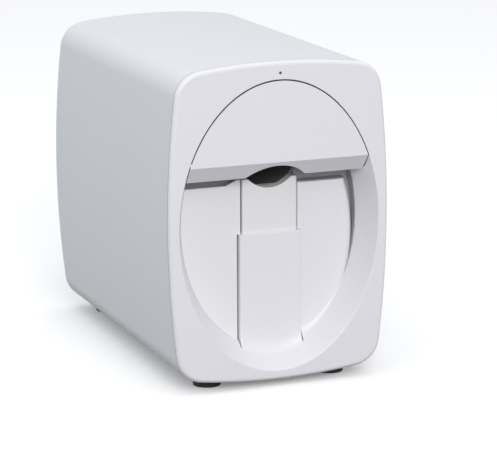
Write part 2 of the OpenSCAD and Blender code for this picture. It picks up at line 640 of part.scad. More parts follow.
module carriage() color([0.16, 0.16, 0.18]) translate([park_x, 0, 0]) difference() {
    union() {
        block(-carriage_hw, carriage_hw, cart_y0, cart_y1 + 0.1, nozzle_z + 1, cart_z1);
        block(-carriage_hw, carriage_hw, cart_y1, rod_y + 8, nozzle_z + 6, cart_z1);
        block(-6, 6, rod_y + 7.9, belt_y1 + 1.5, pulley_z - 9.8, pulley_z - 2.2);
    }
    block(-carriage_hw + 1.6, carriage_hw - 1.6, cart_y0 + 1.6, cart_y1 - 1.6, nozzle_z + 3, cart_z1 + 2);
    block(-carriage_hw + 10, carriage_hw - 10, cart_y0 + 12, cart_y0 + 32, nozzle_z, nozzle_z + 4);
    for (z = [rod_z0, rod_z1]) bar_x(-carriage_hw - 12, carriage_hw + 12, rod_y, z, rod_r + run_fit);
    block(-7, 7, belt_y0 - 0.3, belt_y1 + 0.3, pulley_z - pulley_r - belt_t - 0.3, pulley_z - pulley_r + 0.2);
    // window in the front for the cartridge
    block(-carriage_hw + 7, carriage_hw - 7, cart_y0 - 1, cart_y0 + 2, nozzle_z + 20, cart_z1 + 2);
}
module ink_cartridge() color([0.1, 0.1, 0.11]) translate([park_x, 0, 0]) {
    block(-carriage_hw + 1.8, carriage_hw - 1.8, cart_y0 + 1.8, cart_y1 - 1.8, nozzle_z + 3.1, cart_z1 + 6);
    block(-carriage_hw + 11, carriage_hw - 11, cart_y0 + 13, cart_y0 + 31, nozzle_z, nozzle_z + 3.2);
    block(-carriage_hw + 8, carriage_hw - 8, cart_y0 + 5, cart_y0 + 37, cart_z1 + 5.9, cart_z1 + 8);
}
module camera_module() color([0.08, 0.08, 0.09]) translate([park_x - carriage_hw, 0, 0]) {
    block(-10, 0, cart_y0 + 13, cart_y0 + 33, nozzle_z + 10, nozzle_z + 26);
    bar_z(-5, cart_y0 + 23, 3.2, nozzle_z + 6, nozzle_z + 10.1);
}
module scan_motor() color([0.72, 0.73, 0.75]) difference() {
    union() {
        bar_y(pulley_x, pulley_z, 9, gantry_y1, gantry_y1 + 20);
        bar_y(pulley_x, pulley_z, 2.9, belt_y1 + 2.2, gantry_y1 + 0.1);
    }
    bar_y(pulley_x, pulley_z, 1 + run_fit, belt_y1, gantry_y1 + 16);
}
module pulley(s, bore) difference() {
    union() {
        bar_y(s*pulley_x, pulley_z, pulley_r, belt_y0 - 1.4, belt_y1 + 1.4);
        for (y = [belt_y0 - 1.4, belt_y1 + 0.3]) bar_y(s*pulley_x, pulley_z, 7, y, y + 1.1);
    }
    if (bore > 0) bar_y(s*pulley_x, pulley_z, bore, belt_y0 - 5, belt_y1 + 5);
}
module drive_pulley() color([0.75, 0.76, 0.78]) {
    pulley(1, 0);
    bar_y(pulley_x, pulley_z, 1, belt_y1, gantry_y1 + 15);
}
module idler_pulley() color([0.3, 0.3, 0.32]) pulley(-1, 1.5 + run_fit);
module scan_belt() color([0.08, 0.08, 0.08]) slab(belt_y0, belt_y1) difference() {
    union() {
        for (s = [-1, 1]) translate([s*pulley_x, pulley_z]) circle(pulley_r + belt_t);
        translate([0, pulley_z]) square([2*pulley_x, 2*(pulley_r + belt_t)], center = true);
    }
    for (s = [-1, 1]) translate([s*pulley_x, pulley_z]) circle(pulley_r);
    translate([0, pulley_z]) square([2*pulley_x, 2*pulley_r], center = true);
}
module encoder_strip() color([0.8, 0.82, 0.85]) block(-block_in, block_in, belt_y0 + 3.4, belt_y0 + 4, nozzle_z + 27, nozzle_z + 32);

// ---------- feed drive ----------
module feed_motor() color([0.72, 0.73, 0.75]) difference() {
    bar_y(screw_x, screw_z, 12, mech_y + 8, mech_y + 36);
    bar_y(screw_x, screw_z, screw_r + run_fit, mech_y + 7, mech_y + 13);
}
module lead_screw() color([0.78, 0.79, 0.8]) bar_y(screw_x, screw_z, screw_r, chassis_y0, mech_y + 12);
module lead_nut() color([0.8, 0.65, 0.3]) difference() {
    bar_y(screw_x, screw_z, 6, gantry_y0, gantry_y0 + 16);
    bar_y(screw_x, screw_z, screw_r + run_fit, gantry_y0 - 1, gantry_y0 + 17);
}

// ---------- service station ----------
module capping_station() color([0.25, 0.25, 0.27]) difference() {
    block(park_x - 6, park_x + 12, cart_y0 + 13, cart_y0 + 31, deck_z + sheet, nozzle_z - 6);
    block(park_x - 5, park_x + 5, cart_y0 + 16, cart_y0 + 28, nozzle_z - 10, nozzle_z - 5);
    block(park_x + 7.5, park_x + 9.1, cart_y0 + 14, cart_y0 + 30, nozzle_z - 10, nozzle_z - 5);
    block(park_x - 4, park_x + 10, cart_y0 + 7, cart_y0 + 37, deck_z + 6, nozzle_z - 16);
}
module cap_pad() color([0.06, 0.06, 0.06]) difference() {
    block(park_x - 5, park_x + 5, cart_y0 + 16, cart_y0 + 28, nozzle_z - 10, nozzle_z - 0.3);
    block(park_x - 3.5, park_x + 3.5, cart_y0 + 17.5, cart_y0 + 26.5, nozzle_z - 3, nozzle_z + 1);
}
module wiper_blade() color([0.12, 0.12, 0.12]) block(park_x + 7.5, park_x + 9.1, cart_y0 + 14, cart_y0 + 30, nozzle_z - 10, nozzle_z - 0.1);
module waste_ink_pad() color([0.9, 0.9, 0.88]) block(park_x - 10, park_x + 18, mech_y - 60, mech_y - 16, deck_z + sheet, deck_z + sheet + 8);

// ---------- electronics ----------
module main_board() color([0.08, 0.32, 0.18]) difference() {
    zt0 = board_z + board_t;
    union() {
        block(-board_x - 6, board_x + 6, main_y0, main_y1, board_z, zt0);
        block(-12, 12, main_y0 + 50, main_y0 + 74, zt0, zt0 + 2);
        block(-34, -22, main_y0 + 30, main_y0 + 42, zt0, zt0 + 1.4);
        block(18, 36, main_y0 + 26, main_y0 + 40, zt0, zt0 + 1.4);
        for (x = [-30, -10, 10, 30]) block(x - 5, x + 5, main_y0 + 4, main_y0 + 10, zt0, zt0 + 5.4);
        for (x = [-36, -24]) bar_z(x, main_y1 - 21, 4, zt0, zt0 + 10.4);
    }
    for (s = [-1, 1], y = [board_ys[0], board_ys[1]]) bar_z(s*board_x, y, 1.3, z_tray, board_z + 4);
}
module power_board() color([0.1, 0.28, 0.36]) difference() {
    zt0 = board_z + board_t;
    union() {
        block(-board_x - 6, board_x + 6, power_y0, power_y1, board_z, zt0);
        for (x = [-14, 0]) bar_z(x, power_y0 + 16, 5, zt0, zt0 + 16.4);
        block(8, 22, power_y0 + 6, power_y0 + 20, zt0, zt0 + 8.4);
    }
    for (s = [-1, 1], y = [board_ys[2], board_ys[3]]) bar_z(s*board_x, y, 1.3, z_tray, board_z + 4);
}
module board_screws() color([0.75, 0.76, 0.78]) for (s = [-1, 1], y = board_ys) {
    bar_z(s*board_x, y, 1.2, z_tray + 2.5, board_z + board_t + 0.1);
    bar_z(s*board_x, y, 2.4, board_z + board_t, board_z + board_t + 1.4);
}
module dc_inlet() color([0.08, 0.08, 0.09]) {
    difference() {
        union() {
            block(inlet_x - 6, inlet_x + 6, power_y1 - 11, cover_y0 - 0.2, board_z + board_t, socket_z + 6);
            bar_y(inlet_x, socket_z, 4.4, cover_y0 - 0.3, cover_y1);
        }
        bar_y(inlet_x, socket_z, 2.9, cover_y0 - 11, yb);
    }
    bar_y(inlet_x, socket_z, 1, cover_y0 - 11.1, cover_y0 + 1);
}
module power_switch() color([0.15, 0.15, 0.16]) block(button_x - 5, button_x + 5, power_y1 - 9, power_y1 - 1, board_z + board_t, socket_z + 6);
module power_button() color([0.8, 0.8, 0.84]) {
    bar_y(button_x, socket_z, button_r, cover_y0 - 3, yb - 0.1);
    bar_y(button_x, socket_z, button_r + 1.2, cover_y0 - 5, cover_y0 - 0.3);
    bar_y(button_x, socket_z, 3, power_y1 - 1 + button_travel + 0.3, cover_y0 - 4.9);
}

// ---------- back and base ----------
module rear_cover() color([0.3, 0.31, 0.33]) difference() {
    union() {
        slab(cover_y0, yb - wall - 0.2) round_rect(0, zc, back_hw + 3, back_hh + 3, back_corner + 2);
        slab(cover_y0, cover_y1) round_rect(0, zc, back_hw - cover_gap, back_hh - cover_gap, back_corner - cover_gap);
    }
    // fan grille
    difference() {
        bar_y(fan_x, fan_z, fan_w/2 - 1.5, cover_y0 - 1, yb);
        for (a = [0, 60, 120]) translate([fan_x, 0, fan_z]) rotate([0, a, 0]) block(-fan_w/2 - 5, fan_w/2 + 5, cover_y0 - 2, yb + 1, -1, 1);
        difference() {
            bar_y(fan_x, fan_z, fan_w/2 - 6.4, cover_y0 - 2, yb + 1);
            bar_y(fan_x, fan_z, fan_w/2 - 8, cover_y0 - 2, yb + 1);
        }
        bar_y(fan_x, fan_z, 6, cover_y0 - 2, yb + 1);
    }
    // intake slots
    for (i = [0:5]) slab(cover_y0 - 1, yb) round_rect(0, zc - 40.25 + 6*i, back_hw - 20, 1.4, 1.39);
    bar_y(inlet_x, socket_z, 4.6, cover_y0 - 1, yb);
    bar_y(button_x, socket_z, button_r + 0.15, cover_y0 - 1, yb);
    for (sx = [-1, 1], sz = [-1, 1]) {
        bar_y(sx*boss_x, zc + sz*boss_z, 1.6, cover_y0 - 1, yb);
        bar_y(sx*boss_x, zc + sz*boss_z, 3.1, cover_y0 + 2.4, yb);
    }
}
module rear_cover_screws() color([0.3, 0.3, 0.32]) for (sx = [-1, 1], sz = [-1, 1]) difference() {
    union() {
        bar_y(sx*boss_x, zc + sz*boss_z, 1.5, cover_y0 - 10, cover_y0 + 2.5);
        bar_y(sx*boss_x, zc + sz*boss_z, 2.9, cover_y0 + 2.4, cover_y1);
    }
    translate([sx*boss_x, 0, zc + sz*boss_z]) for (a = [0, 90]) rotate([0, a, 0]) block(-2, 2, cover_y1 - 0.8, yb, -0.35, 0.35);
}
module fan_housing() color([0.1, 0.1, 0.11]) {
    difference() {
        slab(fan_y0, cover_y0) round_rect(fan_x, fan_z, fan_w/2, fan_w/2, 3);
        bar_y(fan_x, fan_z, fan_w/2 - 1.5, fan_y0 - 1, cover_y0 + 1);
    }
    translate([fan_x, 0, fan_z]) for (a = [45, 165, 285]) rotate([0, a, 0]) block(5, fan_w/2 - 1, fan_y0, fan_y0 + 1.5, -1, 1);
    bar_y(fan_x, fan_z, 7, fan_y0, fan_y0 + 1.5);
    bar_y(fan_x, fan_z, 1.5, fan_y0, fan_y0 + 8);
}
module fan_rotor() color([0.16, 0.16, 0.17]) difference() {
    union() {
        bar_y(fan_x, fan_z, 8, fan_y0 + 1.9, fan_y0 + 9);
        intersection() {
            bar_y(fan_x, fan_z, fan_w/2 - 2.2, fan_y0 + 2, fan_y0 + 9);
            translate([fan_x, fan_y0 + 5.5, fan_z]) for (i = [0:6]) rotate([0, i*360/7, 0]) translate([6, 0, 0]) rotate([35, 0, 0]) translate([0, -0.5, -5]) cube([fan_w/2 - 4, 1, 10]);
        }
    }
    bar_y(fan_x, fan_z, 1.5 + run_fit, fan_y0 + 1, fan_y0 + 8.4);
}
module base_plate() color([0.1, 0.1, 0.11]) difference() {
    union() {
        difference() {
            block(-base_hw, base_hw, -base_hl, base_hl, 2.4, 8);
            pillow(-0.02, yf - 5, yb + 5);
        }
        block(-base_hw + 4.2, base_hw - 4.2, -base_hl + 4.2, base_hl - 4.2, 2.4, 6.4);
    }
    for (s = [-1, 1], y = post_ys) {
        bar_z(s*post_x, y, 1.6, 0, 8);
        bar_z(s*post_x, y, 3.1, 0, 4);
    }
}
module base_screws() color([0.3, 0.3, 0.32]) for (s = [-1, 1], y = post_ys) {
    bar_z(s*post_x, y, 1.5, 3.9, 16);
    bar_z(s*post_x, y, 2.9, 2.5, 4);
}
module rubber_feet() color([0.06, 0.06, 0.06]) for (sx = [-1, 1], sy = [-1, 1]) {
    difference() {
        bar_z(sx*foot_x, sy*foot_y, foot_r, 0, 9);
        pillow(-0.02, yf - 5, yb + 5);
    }
    bar_z(sx*foot_x, sy*foot_y, 2.9, 1, 9);
}

main_shell();
front_bezel();
left_hand_panel();
cartridge_door();
door_hinge_pins();
door_magnets();
magnet_strikes();
status_light_lens();
status_light_board();
finger_rest();
finger_cradle();
finger_rest_guide();
finger_rest_springs();
chassis();
side_plates();
deck_plate();
rod_brackets();
screw_bearing();
motor_plate();
nail_light_board();
feed_rods();
gantry_left_block();
gantry_right_block();
scan_rods();
carriage();
ink_cartridge();
camera_module();
scan_motor();
drive_pulley();
idler_pulley();
scan_belt();
encoder_strip();
feed_motor();
lead_screw();
lead_nut();
capping_station();
cap_pad();
wiper_blade();
waste_ink_pad();
main_board();
power_board();
board_screws();
dc_inlet();
power_switch();
power_button();
rear_cover();
rear_cover_screws();
fan_housing();
fan_rotor();
base_plate();
base_screws();
rubber_feet();
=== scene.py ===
import math
from math import atan2, cos, pi, radians, sin, sqrt, tan

import bmesh
import bpy
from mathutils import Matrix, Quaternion, Vector


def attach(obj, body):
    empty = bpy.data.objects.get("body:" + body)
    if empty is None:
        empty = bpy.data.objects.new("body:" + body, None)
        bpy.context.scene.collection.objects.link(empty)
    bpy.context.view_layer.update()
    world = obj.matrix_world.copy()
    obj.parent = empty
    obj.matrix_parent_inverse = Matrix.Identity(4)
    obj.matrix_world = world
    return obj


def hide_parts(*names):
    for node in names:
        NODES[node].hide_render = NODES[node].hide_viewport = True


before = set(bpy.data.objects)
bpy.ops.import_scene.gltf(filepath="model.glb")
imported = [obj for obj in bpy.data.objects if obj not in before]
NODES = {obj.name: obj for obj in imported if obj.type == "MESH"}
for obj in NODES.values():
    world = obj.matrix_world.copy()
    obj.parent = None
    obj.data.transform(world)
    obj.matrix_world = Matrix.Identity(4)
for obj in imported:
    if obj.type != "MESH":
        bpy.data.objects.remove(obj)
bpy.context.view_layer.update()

MM = 0.001

# ---------------------------------------------------------------- sizes, in millimetres
# They are those of the part's source, apart from the slits, the recess and the right floor's edges.
YF, YB = -114.0, 114.0                     # front and back plane
ZC, ZE = 100.25, 97.8                      # height of the section's centre, and of the oval's
HALF_W, HALF_H = 70.0, 96.75               # half width and height of the section
BOW_X, BOW_Z = 5.0, 3.8                    # how far its sides, and its top and bottom, bow out
RC = 17.2                                  # its corner radius
A, RATIO, DRAFT = 63.7, 88.2 / 63.7, 0.4   # the oval: half width, height to width, narrowing with depth
BEZEL_T, SEAM, WALL = 3.0, 0.25, 2.4
BACK_ROUND, EDGE_ROUND = 6.0, 2.5          # radius of the shell's back edge, and of the front's edge
REAR_HW, REAR_HH, REAR_R = 54.0, 82.0, 8.0   # opening of the back: half width, half height, corners
REAR_AIM = 7.0                             # inset of the section whose points aim at that opening

# all depths are measured from the front plane
SLEEVE_D, REST_D, REST_BACK = 15.2, 17.0, 24.0   # face of the block, face and back of the finger rest
SLEEVE_T, SLEEVE_FOOT = 1.5, 7.0           # the block's wall, and its blend into the bowl at its foot
FLOOR_D, FLOOR_B = 18.5, 22.0              # face and back of the floors
SEAT_D = FLOOR_D + 2.15                    # the left panel's seat
RECESS = 26.0                              # the recess above the floors
LIP_B = 10.0                               # back of the mouth's wall behind the door
PANEL_T, PANEL_GAP, PANEL_TAB = 1.98, 0.06, 3.3

Z_SHELF, Z_SLIT = 27.0, 22.0               # lower end of the rest's groove and of the slits
Z_FLOOR, Z_PANEL, Z_SLEEVE = 120.5, 121.0, 91.0   # top of the right floor, the left panel and the block
Z_STEP = Z_PANEL - 2.01                    # the recess begins here, between two mesh lines
Z_DOOR, Z_LIP = 136.9, 127.1               # the door's fold and lower edge
Z_CHANNEL, Z_SKIRT = 132.0, 165.0          # top of the rest's channel; above Z_SKIRT the mouth is wider
R_MOUTH, R_SKIRT = 59.7, 62.5              # radius of the mouth below and above Z_SKIRT
BEVEL_K = 9.8 / 8.0                        # fall of the door's bevel for each millimetre of depth

# the slits are 0.4 narrower than in the source, as in the photo
REST_HW, SLEEVE_HW, SLIT = 17.6, 19.8, 0.8
GROOVE_HW = 17.6
REST_EDGE, SLEEVE_EDGE = REST_HW + SLIT, SLEEVE_HW + SLIT
# right floor: shift and roundness of its right edge, roundness and fall of its top edge
FLOOR_SHIFT, FLOOR_SOFT = 1.2, 4.5
FLOOR_TOP, FLOOR_FALL = 1.2, 0.6
Z_LIGHT, LIGHT_R = 190.0, 0.85             # hole round the status light


def smooth(a, b, t):
    """Rises from 0 at a to 1 at b without a corner at either end."""
    t = min(1.0, max(0.0, (t - a) / (b - a)))
    return t * t * (3 - 2 * t)


# ---------------------------------------------------------------- body's cross section
HW, HH = HALF_W - RC, HALF_H - RC
RSX = (HH * HH + BOW_X ** 2) / (2 * BOW_X)
RSZ = (HW * HW + BOW_Z ** 2) / (2 * BOW_Z)
CSX, CSZ = HW - RSX, HH - RSZ
# the corner's centre, where the two bowed curves of the centres meet
qz = HH
for _ in range(12):
    qx = CSX + sqrt(RSX * RSX - qz * qz)
    qz = CSZ + sqrt(RSZ * RSZ - qx * qx)
T1 = atan2(qz, qx - CSX)
T2 = atan2(qz - CSZ, qx)
SIDE_N, CORNER_N, TOP_N = 60, 20, 44


def section(inset):
    """Points of the bowed, round-cornered section, counter-clockwise from the right side's lower end."""
    arcs = [
        (CSX, 0, RSX + RC, -T1, T1, SIDE_N),
        (qx, qz, RC, T1, T2, CORNER_N),
        (0, CSZ, RSZ + RC, T2, pi - T2, TOP_N),
        (-qx, qz, RC, pi - T2, pi - T1, CORNER_N),
        (-CSX, 0, RSX + RC, pi - T1, pi + T1, SIDE_N),
        (-qx, -qz, RC, pi + T1, pi + T2, CORNER_N),
        (0, -CSZ, RSZ + RC, pi + T2, 2 * pi - T2, TOP_N),
        (qx, -qz, RC, 2 * pi - T2, 2 * pi - T1, CORNER_N),
    ]
    pts = []
    for cx, cz, r, a0, a1, n in arcs:
        for i in range(n):
            t = a0 + (a1 - a0) * i / n
            pts.append((cx + (r - inset) * cos(t), ZC + cz + (r - inset) * sin(t)))
    return pts


def section_ring(inset, y):
    return [(x, y, z) for x, z in section(inset)]


# ---------------------------------------------------------------- mesh helpers
MERGE = 1e-7                               # metres


def add_face(bm, verts):
    """Adds a face, unless it is there already or uses a corner twice."""
    try:
        bm.faces.new(verts)
    except ValueError:
        pass


def finish_mesh(bm, me, name, mat, body, smooth_deg=32, merge=MERGE, made_here=True):
    """Cleans a mesh and makes it an object that rides on a body; one made here also gets even shading."""
    bmesh.ops.remove_doubles(bm, verts=bm.verts, dist=merge)
    bmesh.ops.dissolve_degenerate(bm, edges=bm.edges, dist=merge)
    loose = [v for v in bm.verts if not v.link_faces]
    bmesh.ops.delete(bm, geom=loose, context="VERTS")
    if made_here:
        bmesh.ops.recalc_face_normals(bm, faces=bm.faces)
    bm.to_mesh(me)
    bm.free()
    me.materials.append(mat)
    for p in me.polygons:
        p.use_smooth = True
    me.set_sharp_from_angle(angle=radians(smooth_deg))
    o = bpy.data.objects.new(name, me)
    bpy.context.scene.collection.objects.link(o)
    if made_here:
        m = o.modifiers.new("even_shading", "WEIGHTED_NORMAL")
        m.keep_sharp = True
    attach(o, body)
    return o


def add(name, verts, faces, mat, body, smooth_deg=32, merge=MERGE):
    """Makes a mesh object from points in millimetres and lets it ride on a body."""
    me = bpy.data.meshes.new(name)
    bm = bmesh.new()
    vs = [bm.verts.new((v[0] * MM, v[1] * MM, v[2] * MM)) for v in verts]
    for f in faces:
        add_face(bm, [vs[i] for i in f])
    return finish_mesh(bm, me, name, mat, body, smooth_deg, merge)


def loft(rings, closed_ends=False, wrap=True):
    """Vertices and quads of rings with equal numbers of points; wrap joins the last ring to the first."""
    n = len(rings[0])
    m = len(rings)
    verts = [p for r in rings for p in r]
    faces = []
    for j in range(m if wrap else m - 1):
        k = (j + 1) % m
        for i in range(n):
            i2 = (i + 1) % n
            faces.append((j * n + i, j * n + i2, k * n + i2, k * n + i))
    if closed_ends:
        faces.append(tuple(range(n)))
        faces.append(tuple(reversed(range((m - 1) * n, m * n))))
    return verts, faces


def mirrored(xs):
    """The list that starts at 0, with its mirror image before it."""
    return [-x for x in reversed(xs[1:])] + xs


def crop(node, name, keep, mat, body):
    """Copies the faces of a CAD node that keep(x, y, z) accepts by their middle, in millimetres."""
    me = NODES[node].data.copy()
    me.name = name
    me.materials.clear()
    bm = bmesh.new()
    bm.from_mesh(me)
    drop_faces = []
    for f in bm.faces:
        c = f.calc_center_median()
        if not keep(c.x / MM, c.y / MM, c.z / MM):
            drop_faces.append(f)
    bmesh.ops.delete(bm, geom=drop_faces, context="FACES")
    return finish_mesh(bm, me, name, mat, body, 30, made_here=False)


def bevelled(o, width, segments, angle=35):
    """Rounds an object's edges, before its even shading."""
    m = o.modifiers.new("edge_rounding", "BEVEL")
    m.width = width * MM
    m.segments = segments
    m.limit_method = "ANGLE"
    m.angle_limit = radians(angle)
    m.harden_normals = False
    m.use_clamp_overlap = True
    while o.modifiers[0] != m:
        bpy.context.view_layer.objects.active = o
        with bpy.context.temp_override(object=o):
            bpy.ops.object.modifier_move_up(modifier=m.name)


# ---------------------------------------------------------------- materials
CLOUD_SCALE = 35                           # of the faint clouds in the colour
ROUGH_VARY = 0.05
COAT_ROUGH = 0.25
FINE_GRAIN, FELT_GRAIN = 0.00002, 0.0002   # depth of a grain, in metres


def math_node(nt, operation, *values):
    """A maths node on numbers and sockets; returns its output."""
    n = nt.nodes.new("ShaderNodeMath")
    n.operation = operation
    for i, value in enumerate(values):
        if isinstance(value, float):
            n.inputs[i].default_value = value
        else:
            nt.links.new(value, n.inputs[i])
    return n.outputs["Value"]


def noise(nt, vector, scale, detail):
    n = nt.nodes.new("ShaderNodeTexNoise")
    n.inputs["Scale"].default_value = scale
    n.inputs["Detail"].default_value = detail
    nt.links.new(vector, n.inputs["Vector"])
    return n.outputs["Fac"]


def mix_colours(nt, fac, first, second):
    """A colour between two: the first is a colour or a socket, the second a colour."""
    n = nt.nodes.new("ShaderNodeMixRGB")
    nt.links.new(fac, n.inputs["Fac"])
    if isinstance(first, tuple):
        n.inputs["Color1"].default_value = first + (1,)
    else:
        nt.links.new(first, n.inputs["Color1"])
    n.inputs["Color2"].default_value = second + (1,)
    return n.outputs["Color"]


def material(name, colour, rough, grain=0.0, size=0.25, vary=0.012, metal=0.0, coat=0.0,
             stretch=(1, 1, 1), sheen=0.0, depth=FINE_GRAIN):
    """Plastic or metal with faint variation and a moulded grain whose size is in millimetres."""
    m = bpy.data.materials.new(name)
    m.use_nodes = True
    nt = m.node_tree
    b = nt.nodes["Principled BSDF"]
    b.inputs["Metallic"].default_value = metal
    b.inputs["Coat Weight"].default_value = coat
    b.inputs["Coat Roughness"].default_value = COAT_ROUGH
    b.inputs["Sheen Weight"].default_value = sheen
    place = nt.nodes.new("ShaderNodeTexCoord")
    stretched = nt.nodes.new("ShaderNodeMapping")
    stretched.inputs["Scale"].default_value = stretch
    nt.links.new(place.outputs["Object"], stretched.inputs["Vector"])

    clouds = noise(nt, stretched.outputs["Vector"], CLOUD_SCALE, 4)
    darker = tuple(max(0.0, c * (1 - vary)) for c in colour)
    lighter = tuple(min(1.0, c * (1 + vary)) for c in colour)
    nt.links.new(mix_colours(nt, clouds, darker, lighter), b.inputs["Base Color"])

    grains = noise(nt, stretched.outputs["Vector"], 1000.0 / size / 2, 2)
    spread = nt.nodes.new("ShaderNodeMapRange")
    spread.inputs["To Min"].default_value = rough - ROUGH_VARY
    spread.inputs["To Max"].default_value = rough + ROUGH_VARY
    nt.links.new(grains, spread.inputs["Value"])
    nt.links.new(spread.outputs["Result"], b.inputs["Roughness"])
    if grain > 0:
        bump = nt.nodes.new("ShaderNodeBump")
        bump.inputs["Strength"].default_value = grain
        bump.inputs["Distance"].default_value = depth
        nt.links.new(grains, bump.inputs["Height"])
        nt.links.new(bump.outputs["Normal"], b.inputs["Normal"])
    return m


FRONT_LOOK = dict(colour=(0.795, 0.79, 0.83), rough=0.36, grain=0.15, size=0.3, vary=0.008)
BOARD_LOOK = dict(rough=0.35, grain=0.2, size=0.8, vary=0.15, coat=0.3)
M = {
    "shell": material("shell_white", (0.765, 0.785, 0.815), 0.56, grain=0.25, size=0.3, vary=0.008),
    "front": material("front_white", **FRONT_LOOK),
    "panel": material("panel_white", (0.8, 0.8, 0.81), 0.48, grain=0.3, size=0.35, vary=0.01),
    # painted shade: a flat grey on the recess walls round the floors, which are the same white plastic in
    # shadow
    "recess": material("recess_painted_shade", (0.5, 0.5, 0.51), 0.6, grain=0.3, size=0.35),
    # painted shade: front white that turns near black on the walls behind the door
    "gap": material("front_white_with_gap_shade", **FRONT_LOOK),
    # painted shade: near black on the door's outer edge faces, which are white plastic in the gap's shadow
    "edge": material("door_edge_painted_shade", (0.08, 0.08, 0.085), 0.7, grain=0.3, size=0.35),
    # painted shade: front white that fades to grey where the right floor's edge rolls into the recess
    "fade": material("front_white_with_recess_shade", **FRONT_LOOK),
    "cradle": material("cradle_grey", (0.19, 0.19, 0.195), 0.5, grain=0.4, size=0.3),
    "lens": material("smoke_lens", (0.012, 0.012, 0.018), 0.12, vary=0.02, coat=0.6),
    "dark": material("dark_plastic", (0.028, 0.028, 0.032), 0.5, grain=0.4, size=0.3),
    "black": material("black_plastic", (0.012, 0.012, 0.013), 0.45, grain=0.4, size=0.3),
    "chassis": material("chassis_grey", (0.17, 0.175, 0.19), 0.45, grain=0.2, size=0.5),
    "steel": material("ground_steel", (0.55, 0.56, 0.58), 0.28, grain=0.2, size=0.2, metal=1.0,
                      stretch=(1, 0.05, 1)),
    "dark_steel": material("black_coated_steel", (0.03, 0.03, 0.032), 0.35, grain=0.2, size=0.3, metal=0.6),
    "magnet": material("nickel_plate", (0.62, 0.61, 0.59), 0.16, metal=1.0),
    "brass": material("turned_brass", (0.6, 0.42, 0.16), 0.3, metal=1.0, grain=0.2, size=0.2,
                      stretch=(1, 8, 1)),
    "rubber": material("black_rubber", (0.012, 0.012, 0.012), 0.75, grain=0.5, size=0.4, sheen=0.15),
    "film": material("clear_film", (0.5, 0.52, 0.55), 0.15),
    "felt": material("pressed_felt", (0.66, 0.65, 0.62), 0.95, grain=1.0, size=0.5, vary=0.05, sheen=0.4,
                     depth=FELT_GRAIN),
    "green": material("board_green", (0.012, 0.11, 0.05), **BOARD_LOOK),
    "blue": material("board_blue", (0.012, 0.05, 0.11), **BOARD_LOOK),
    "cover": material("cover_grey", (0.075, 0.078, 0.085), 0.55, grain=0.6, size=0.4, vary=0.03),
}

# painted shade: the dark behind the door begins this far behind a share of the bevel's depth, and the painted
# grey fade runs behind the floor's face
GAP_SHARE, GAP_BEHIND = 0.94, 0.1
FADE_FROM, FADE_TO = 0.3, 3.6


def darken(m, colour, mask):
    """Paints shade: mixes a material's colour towards another where mask(nodes, depth, z), with both in
    metres, gives 1.
    """
    nt = m.node_tree
    b = nt.nodes["Principled BSDF"]
    place = nt.nodes.new("ShaderNodeSeparateXYZ")
    nt.links.new(nt.nodes["Texture Coordinate"].outputs["Object"], place.inputs["Vector"])
    depth = math_node(nt, "SUBTRACT", place.outputs["Y"], YF * MM)
    plain = b.inputs["Base Color"].links[0].from_socket
    mixed = mix_colours(nt, mask(nt, depth, place.outputs["Z"]), plain, colour)
    nt.links.new(mixed, b.inputs["Base Color"])


def shade_behind_door(nt, depth, z):
    """1 where shade is painted dark: where the wall lies deeper than the door's face, whose bevel falls back
    below the fold.
    """
    below = math_node(nt, "SUBTRACT", Z_DOOR * MM, z)
    face = math_node(nt, "MAXIMUM", math_node(nt, "MULTIPLY", below, GAP_SHARE / BEVEL_K), 0.0)
    return math_node(nt, "GREATER_THAN", math_node(nt, "SUBTRACT", depth, face), GAP_BEHIND * MM)


def shade_into_recess(nt, depth, z):
    """Share of painted shade: rises softly from 0 at the floor's face to 1 where its edge has rolled away."""
    r = nt.nodes.new("ShaderNodeMapRange")
    r.interpolation_type = "SMOOTHSTEP"
    r.inputs["From Min"].default_value = (FLOOR_D + FADE_FROM) * MM
    r.inputs["From Max"].default_value = (FLOOR_D + FADE_TO) * MM
    nt.links.new(depth, r.inputs["Value"])
    return r.outputs["Result"]


# painted shade: near black on the walls behind the door, and grey where the right floor's edge rolls into the
# recess
darken(M["gap"], (0.05, 0.05, 0.055), shade_behind_door)
darken(M["fade"], (0.4, 0.4, 0.41), shade_into_recess)

USE = {
    "shell": ["main_shell"],
    "front": ["front_bezel", "cartridge_door"],
    "panel": ["left_hand_panel", "finger_rest", "nail_light_board", "power_button"],
    "cradle": ["finger_cradle"],
    "lens": ["status_light_lens"],
    "dark": ["finger_rest_guide", "gantry_left_block", "gantry_right_block", "carriage", "idler_pulley",
             "capping_station"],
    "black": ["ink_cartridge", "camera_module", "dc_inlet", "power_switch", "fan_housing", "fan_rotor",
              "base_plate"],
    "chassis": ["chassis", "side_plates", "deck_plate", "rod_brackets", "screw_bearing", "motor_plate"],
    "steel": ["door_hinge_pins", "magnet_strikes", "finger_rest_springs", "feed_rods", "scan_rods",
              "scan_motor", "drive_pulley", "feed_motor", "lead_screw", "board_screws"],
    "dark_steel": ["rear_cover_screws", "base_screws"],
    "magnet": ["door_magnets"],
    "brass": ["lead_nut"],
    "rubber": ["scan_belt", "cap_pad", "wiper_blade", "rubber_feet"],
    "film": ["encoder_strip"],
    "felt": ["waste_ink_pad"],
    "green": ["status_light_board", "main_board"],
    "blue": ["power_board"],
    "cover": ["rear_cover"],
}
for key, nodes in USE.items():
    for node in nodes:
        NODES[node].data.materials.clear()
        NODES[node].data.materials.append(M[key])


# ---------------------------------------------------------------- outer body
def round_rect_point(x, z, hx, hz, r):
    """Where the ray from the centre through (x, z) leaves a round-cornered rectangle."""
    t = min(hx / abs(x) if x else 1e9, hz / abs(z) if z else 1e9)
    px, pz = x * t, z * t
    cx, cz = hx - r, hz - r
    if abs(px) > cx and abs(pz) > cz:
        ox, oz = math.copysign(cx, px), math.copysign(cz, pz)
        a = x * x + z * z
        b = -2 * (x * ox + z * oz)
        c = ox * ox + oz * oz - r * r
        t = (-b + sqrt(max(0.0, b * b - 4 * a * c))) / (2 * a)
        px, pz = x * t, z * t
    return px, pz


